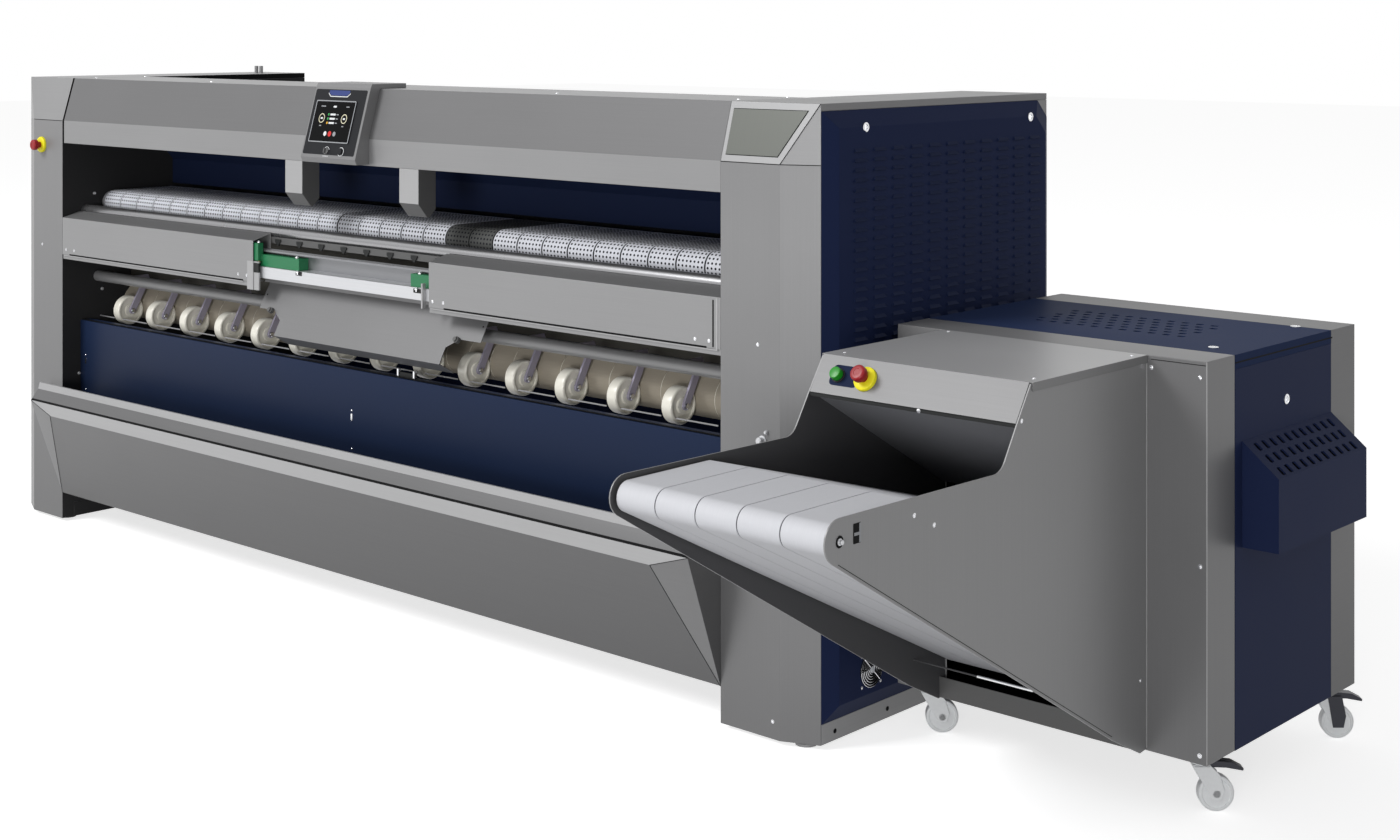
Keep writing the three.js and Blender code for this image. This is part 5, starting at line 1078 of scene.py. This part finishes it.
def build_hopper():
    # Painted shade: each plate's face towards the hopper's inside takes hopper_dark, a dark copy of its
    # steel.
    inner = ("steel_upright", "hopper_dark")
    dress("hopper_left_plate", inner, 0.9, lambda f: int(f.normal.x > SQUARE), crease=SMOOTH_ANGLE)
    dress("hopper_right_plate", inner, 0.9, lambda f: int(f.normal.x < -SQUARE), crease=SMOOTH_ANGLE)
    # Painted light: the control plate's level top takes a lighter steel.
    dress("control_plate", ("steel_mid", "steel_light"), 0.9, lambda f: int(f.normal.z > SQUARE))
    dress("chute_plate", "inner_dark", 0.9)
    dress("cross_plate", "steel_shade", 0.8)
    nose, plate_face = (-936, 868), 2786
    centres = [nose, (255, 275), (300, 600), (-680, 868)]
    left, right = 2214, 2776
    strips = 5
    width = (right - left) / strips
    unit = bmesh.new()
    ring_prism(unit, belt_outline(centres, 34, 28), belt_outline(centres, 32.4, 28), 0, width - 3)
    unit.transform(Matrix.Translation((0, 600, -700)))
    places = [Matrix.Translation((left + width * i + 1.5, -600, 700)) for i in range(strips)]
    parts = [repeated("stack_strips", unit, places, "belt_stack")]
    core = bmesh.new()
    ring_prism(core, belt_outline(centres, 32.5, 28), belt_outline(centres, 30, 28), left, right)
    parts.append(new_object("stack_core", core, "seam"))
    for face in parts[-1].data.polygons:
        face.use_smooth = True
    skin = joined("stacking_belt_skin", parts, ("belt_stack", "seam"))
    hand_over(skin, "stacker", ("stacking_belt",))
    middle = (left + right) / 2
    rebuilt(
        "stacking_nose_roller", "aluminium",
        (lathe, roller(12, 29.0, 281, 291), Matrix.Translation((middle, 0, 0)) @ axle(*nose), 40),
    )
    # Buttons on the sloping control face.
    lean, rise = 54, 83
    start = on_slope(2274, -287, 1045.5, lean, rise)
    stop = on_slope(2354, -287, 1045.5, lean, rise)
    made("button_plate", "stacker", "navy_deep", (prism, rounded(-22, 61, -25, 27, 12), 0.1, 0.28, start))
    made(
        "start_ring", "stacker", "dark",
        (lathe, [(15.6, 0.3), (18, 0.3), (18, 3), (17.2, 4.0), (15.6, 4.0), (15.6, 0.3)], start, 40),
    )
    rebuilt(
        "start_button", "start_green",
        (lathe, [(0, -2), (5, -2), (5, 5), (15, 5), (15, 17.6), (14, 19.4), (12, 20), (0, 20)], start, 40),
    )
    collar("stacker_stop_collar", stop)
    mushroom("stacker_stop_button", stop)
    spots = [(2236.5, -216.5, 1087), (2230.5, 218.5, 1087), (2769.5, 197.5, 1087), (2762.5, -213.5, 1087)]
    screws("control_plate_screws", spots, UP, "stacker", radius=4)
    spots = [(plate_face, y, z) for y, z in ((-297.5, 1008.5), (-691.5, 875), (-622.5, 843), (210.5, 322))]
    screws("hopper_screws", spots, RIGHT, "stacker", radius=4)
    bolt = [(7, 0), (7, 1.5), (5, 2), (5, 7), (4, 8), (0, 8)]
    made(
        "nose_bolt", "stacker", "aluminium",
        (lathe, bolt, facing((plate_face + 0.4, *nose), RIGHT), 20),
    )
    made(
        "nose_slot", "stacker", "rubber",
        (prism, rounded(-893, -868, 855, 895, 2), plate_face + 0.05, plate_face + 0.4),
        (lathe, [(12, 0), (12, 0.4), (0, 0.4)], facing((plate_face, *nose), RIGHT), 24),
    )
    made(
        "nose_slot_screw", "stacker", "mark_grey",
        (block, plate_face + 0.3, plate_face + 1.4, -890, -871, 871, 877),
        (block, plate_face + 0.3, plate_face + 0.8, -874, -868.5, 856, 894),
    )
    # The shaded lip under the control face, with its screw.
    made("control_lip", "stacker", "dark", (block, 2209, 2781, -314, -306, 995, 1002.6))
    screws("control_lip_screw", [(2523.5, -314.4, 999)], FRONT, "stacker", radius=4)
    # Painted highlights along the folds, and dark seams of the stacking unit.
    made(
        "fold_lights", "stacker", "steel_light",
        (rod, [(2942.6, 238.4, 153), (2942.6, 238.4, 1086)], 1.3, 6),
        (rod, [(2787.4, 236.4, 158), (2787.4, 236.4, 1072)], 1.2, 6),
    )
    made(
        "stacker_seams", "stacker", "rubber",
        (block, 2943, 2943.5, 376, 900, 1066, 1069.5),
        (block, plate_face, plate_face + 0.7, -256, 234, 1069, 1072),
        (block, 2798, 2940, 237.4, 238, 1077, 1078.6),
    )
    # Painted shade: a dark line along the folded edge at the bottom of the right plate.
    toe = Vector((85, 213))
    run = (toe - Vector(nose)).normalized()
    start = Vector(nose) - Vector((-run.y, run.x)) * 46 + run * 20
    run = (toe - start).normalized()
    inwards = Vector((-run.y, run.x))
    end = toe - run * 10
    points = [start + inwards * 6, end + inwards * 6, end + inwards * 7.6, start + inwards * 7.6]
    made(
        "plate_fold_line", "stacker", "dark",
        (prism, [tuple(p) for p in points], plate_face + 0.05, plate_face + 0.5),
    )
    made(
        "hopper_rod_sleeve", "stacker", "chrome",
        (lathe, [(0, 2400), (3, 2400), (3, 2560), (0, 2560)], axle(100, 275), 10),
    )
    made(
        "hopper_rod", "stacker", "hopper_dark",
        (lathe, [(0, 2208), (2, 2208), (2, 2782), (0, 2782)], axle(100, 275), 10),
    )
    # The cabinet's floor, painted black for the shade inside the cabinet.
    made("cabinet_floor", "stacker", "rubber", (block, 2064, 2935, 262, 1010, 178, 180))


def build_casters():
    trail, radius, half, heading = 36, 43, 15, math.radians(-48)
    cheek = [(24, 30), (36, 26), (48, 30), (54, 53), (44, 88), (20, 112), (-20, 112), (-18, 104)]
    pedal = [(8, 106), (60, 104), (100, 97), (101, 103), (74, 117), (30, 121), (8, 118)]
    side_line = [(35, half), (33.5, half - 2), (19, half - 2.4), (15, half - 0.4), (6.3, half)]
    right_half = wheel_rim(radius, half, 5, 6) + side_line
    profile = [(r, -t) for r, t in reversed(right_half)] + right_half
    for word, x, y in (
        ("front_left", 2075, 348),
        ("front_right", 2866, 348),
        ("rear_left", 2075, 1008),
        ("rear_right", 2866, 1008),
    ):
        place = Matrix.Translation((x, y, 0)) @ Matrix.Rotation(heading, 4, "Z")
        fork = word + "_caster_fork"
        wheel = word + "_caster_wheel"
        bm = bmesh.new()
        for side in (-1, 1):
            low, high = sorted((side * 16, side * 19))
            prism(bm, cheek, low, high, place @ ALONG_X)
        block(bm, -19, 19, -20, 20, 106, 112, place)
        lathe(bm, [(0, 111), (20, 111), (20, 149.7), (0, 149.7)], place, 28)
        lathe(bm, [(0, -19), (10, -19), (10, 19), (0, 19)], place @ axle(trail, radius), 20)
        piece(fork + "_skin", bm, fork, "caster", 1.0, (fork,))
        if word == "rear_right":
            made(
                word + "_fork_plate", fork, "pedal",
                (prism, [(22, 30), (50, 30), (56, 60), (46, 112), (8, 112)], 19.2, 21, place @ ALONG_X),
                bevel=0.8,
            )
        if word.endswith("right"):
            made(word + "_brake_pedal", fork, "pedal", (prism, pedal, -15, 15, place @ ALONG_X), bevel=1.5)
        rebuilt(wheel, "caster", (lathe, profile, place @ axle(trail, radius), 48))


# Camera, floor, lights and background.
def seen_directly(tree):
    """1 for camera, glossy and transmission rays, 0 for the rays that light the object."""
    rays = shader_node(tree, "LightPath").outputs
    seen = rays["Is Camera Ray"]
    for name in ("Is Glossy Ray", "Is Transmission Ray"):
        larger = shader_node(tree, "Math", "MAXIMUM")
        wire(tree, (seen, larger.inputs[0]), (rays[name], larger.inputs[1]))
        seen = larger.outputs[0]
    return seen


def split_by_ray(tree, out, lighting, seen):
    """One shader for the rays that light the object, another for those that see it."""
    mix = shader_node(tree, "MixShader")
    wire(
        tree,
        (seen_directly(tree), mix.inputs[0]),
        (lighting.outputs[0], mix.inputs[1]),
        (seen.outputs[0], mix.inputs[2]),
        (mix.outputs[0], out.inputs["Surface"]),
    )


def floor_material(sizes):
    """A pale floor that looks white but keeps the object's shadow."""
    mat = bpy.data.materials.new("floor_pale")
    mat.use_nodes = True
    tree = mat.node_tree
    tree.nodes.clear()
    plain = shader_node(tree, "BsdfDiffuse", Color=(sizes.floor_bounce,) * 3 + (1,))
    pale = shader_node(tree, "BsdfDiffuse", Color=(0.75, 0.75, 0.75, 1))
    glow = shader_node(tree, "Emission", Strength=sizes.floor_glow)
    both = shader_node(tree, "AddShader")
    wire(tree, (pale.outputs[0], both.inputs[0]), (glow.outputs[0], both.inputs[1]))
    split_by_ray(tree, shader_node(tree, "OutputMaterial"), plain, both)
    return mat


def build_stage(sizes):
    scene = bpy.context.scene
    floor_mesh = bpy.data.meshes.new("floor")
    reach = 40
    corners = [(-reach, -reach, 0), (reach, -reach, 0), (reach, reach, 0), (-reach, reach, 0)]
    floor_mesh.from_pydata(corners, [], [(0, 1, 2, 3)])
    floor = bpy.data.objects.new("floor", floor_mesh)
    scene.collection.objects.link(floor)
    floor_mesh.materials.append(floor_material(sizes))

    for name, place, aim, size, power in (
        ("key", (-5.0, -9.0, 8.6), (0.0, 0, 0.8), 4.5, sizes.key_power),
        ("fill", (6.5, -10.0, 1.3), (0.5, 0, 0.8), 2.2, sizes.fill_power),
    ):
        light = bpy.data.lights.new(name, "AREA")
        light.size = size
        light.energy = power
        lamp = bpy.data.objects.new(name, light)
        lamp.location = place
        lamp.rotation_euler = (Vector(aim) - Vector(place)).to_track_quat("-Z", "Y").to_euler()
        scene.collection.objects.link(lamp)

    world = bpy.data.worlds.new("studio")
    scene.world = world
    world.use_nodes = True
    tree = world.node_tree
    tree.nodes.clear()
    white = (1, 1, 1, 1)
    seen = shader_node(tree, "Background", Strength=1.0, Color=white)
    lit = shader_node(tree, "Background", Strength=sizes.ambient, Color=white)
    split_by_ray(tree, shader_node(tree, "OutputWorld"), lit, seen)

    lens = bpy.data.cameras.new("camera")
    lens.sensor_width = 36
    lens.lens = lens.sensor_width * FOCAL_LENGTH / PHOTO_WIDTH
    lens.shift_y = -HORIZON / PHOTO_WIDTH
    lens.clip_end = 200
    camera = bpy.data.objects.new("camera", lens)
    camera.location = CAMERA_PLACE
    camera.rotation_euler = (math.radians(90), 0, math.radians(CAMERA_HEADING))
    scene.collection.objects.link(camera)
    scene.camera = camera
    scene.view_settings.view_transform = "Standard"


class IronerSizes(bpy.types.PropertyGroup):
    belt_dot_size: bpy.props.FloatProperty(
        name="Belt hole", description="Diameter of a hole in the feed belts", default=0.0072, unit="LENGTH"
    )
    belt_dot_pitch: bpy.props.FloatProperty(
        name="Belt hole pitch", description="Distance between rows of holes", default=0.014, unit="LENGTH"
    )
    louvre_length: bpy.props.FloatProperty(
        name="Louvre length", description="Length of a side panel's louvre", default=0.058, unit="LENGTH"
    )
    louvre_pitch: bpy.props.FloatProperty(
        name="Louvre pitch", description="Distance between rows of louvres", default=0.026, unit="LENGTH"
    )
    louvre_rows: bpy.props.IntProperty(
        name="Louvre rows", description="Rows of louvres on a side panel", default=21
    )
    key_power: bpy.props.FloatProperty(
        name="Key light", description="Power of the main light", default=1000.0, unit="POWER"
    )
    fill_power: bpy.props.FloatProperty(
        name="Fill light", description="Power of the light on the right", default=420.0, unit="POWER"
    )
    floor_bounce: bpy.props.FloatProperty(
        name="Floor bounce", description="Share of the light that the floor throws back", default=0.5
    )
    floor_glow: bpy.props.FloatProperty(
        name="Floor glow", description="Brightness added to the floor where it is seen", default=0.72
    )
    ambient: bpy.props.FloatProperty(
        name="Ambient light", description="Strength of the light from all round", default=0.32
    )


def sizes_of(context):
    return context.scene.ironer_sizes


class IRONER_OT_housings(bpy.types.Operator):
    """Builds the end housings, their louvred panels, lids and fittings"""

    bl_idname = "ironer.housings"
    bl_label = "End housings"

    def execute(self, context):
        build_housings(sizes_of(context))
        return {"FINISHED"}


class IRONER_OT_canopy(bpy.types.Operator):
    """Builds the canopy and its legs"""

    bl_idname = "ironer.canopy"
    bl_label = "Canopy"

    def execute(self, context):
        build_canopy()
        return {"FINISHED"}


class IRONER_OT_touch_panel(bpy.types.Operator):
    """Builds the touch panel with its screen and switches"""

    bl_idname = "ironer.touch_panel"
    bl_label = "Touch panel"

    def execute(self, context):
        build_touch_panel()
        return {"FINISHED"}


class IRONER_OT_feed_bed(bpy.types.Operator):
    """Builds the feed belts, their rollers and the guide tube"""

    bl_idname = "ironer.feed_bed"
    bl_label = "Feed bed"

    def execute(self, context):
        build_feed_bed(sizes_of(context))
        return {"FINISHED"}


class IRONER_OT_clamp_rail(bpy.types.Operator):
    """Builds the clamp rail, its carriages and covers"""

    bl_idname = "ironer.clamp_rail"
    bl_label = "Clamp rail"

    def execute(self, context):
        build_clamp_rail()
        return {"FINISHED"}


class IRONER_OT_press_section(bpy.types.Operator):
    """Builds the deflector, the press wheels and the delivery roller"""

    bl_idname = "ironer.press_section"
    bl_label = "Press section"

    def execute(self, context):
        build_press_section()
        return {"FINISHED"}


class IRONER_OT_lower_body(bpy.types.Operator):
    """Builds the lower panels, the trough, the hood and the heated roll"""

    bl_idname = "ironer.lower_body"
    bl_label = "Lower body"

    def execute(self, context):
        build_lower_body()
        return {"FINISHED"}


class IRONER_OT_ironer_stop(bpy.types.Operator):
    """Builds the stop button on the left housing"""

    bl_idname = "ironer.ironer_stop"
    bl_label = "Stop button"

    def execute(self, context):
        build_ironer_stop()
        return {"FINISHED"}


class IRONER_OT_stacker(bpy.types.Operator):
    """Builds the stacking unit's frames, panels and exhaust hood"""

    bl_idname = "ironer.stacker"
    bl_label = "Stacking unit"

    def execute(self, context):
        build_stacker()
        return {"FINISHED"}


class IRONER_OT_hopper(bpy.types.Operator):
    """Builds the hopper, its belt and its buttons"""

    bl_idname = "ironer.hopper"
    bl_label = "Hopper"

    def execute(self, context):
        build_hopper()
        return {"FINISHED"}


class IRONER_OT_casters(bpy.types.Operator):
    """Builds the four casters"""

    bl_idname = "ironer.casters"
    bl_label = "Casters"

    def execute(self, context):
        build_casters()
        return {"FINISHED"}


class IRONER_OT_stage(bpy.types.Operator):
    """Builds the camera, floor, lights and background"""

    bl_idname = "ironer.stage"
    bl_label = "Stage"

    def execute(self, context):
        build_stage(sizes_of(context))
        return {"FINISHED"}


OPERATORS = (
    IRONER_OT_stage,
    IRONER_OT_housings,
    IRONER_OT_canopy,
    IRONER_OT_touch_panel,
    IRONER_OT_feed_bed,
    IRONER_OT_clamp_rail,
    IRONER_OT_press_section,
    IRONER_OT_lower_body,
    IRONER_OT_ironer_stop,
    IRONER_OT_stacker,
    IRONER_OT_hopper,
    IRONER_OT_casters,
)


class IRONER_PT_panel(bpy.types.Panel):
    bl_label = "Ironer"
    bl_idname = "IRONER_PT_panel"
    bl_space_type = "VIEW_3D"
    bl_region_type = "UI"
    bl_category = "Ironer"

    def draw(self, context):
        sizes = sizes_of(context)
        for name in IronerSizes.__annotations__:
            self.layout.prop(sizes, name)
        for operator in OPERATORS:
            self.layout.operator(operator.bl_idname)


CLASSES = (IronerSizes, *OPERATORS, IRONER_PT_panel)


def register():
    for cls in CLASSES:
        bpy.utils.register_class(cls)
    bpy.types.Scene.ironer_sizes = bpy.props.PointerProperty(type=IronerSizes)


def unregister():
    del bpy.types.Scene.ironer_sizes
    for cls in reversed(CLASSES):
        bpy.utils.unregister_class(cls)


def main():
    register()
    bpy.ops.ironer.stage()
    bpy.ops.ironer.housings()
    bpy.ops.ironer.canopy()
    bpy.ops.ironer.touch_panel()
    bpy.ops.ironer.feed_bed()
    bpy.ops.ironer.clamp_rail()
    bpy.ops.ironer.press_section()
    bpy.ops.ironer.lower_body()
    bpy.ops.ironer.ironer_stop()
    bpy.ops.ironer.stacker()
    bpy.ops.ironer.hopper()
    bpy.ops.ironer.casters()


if __name__ == "__main__":
    main()
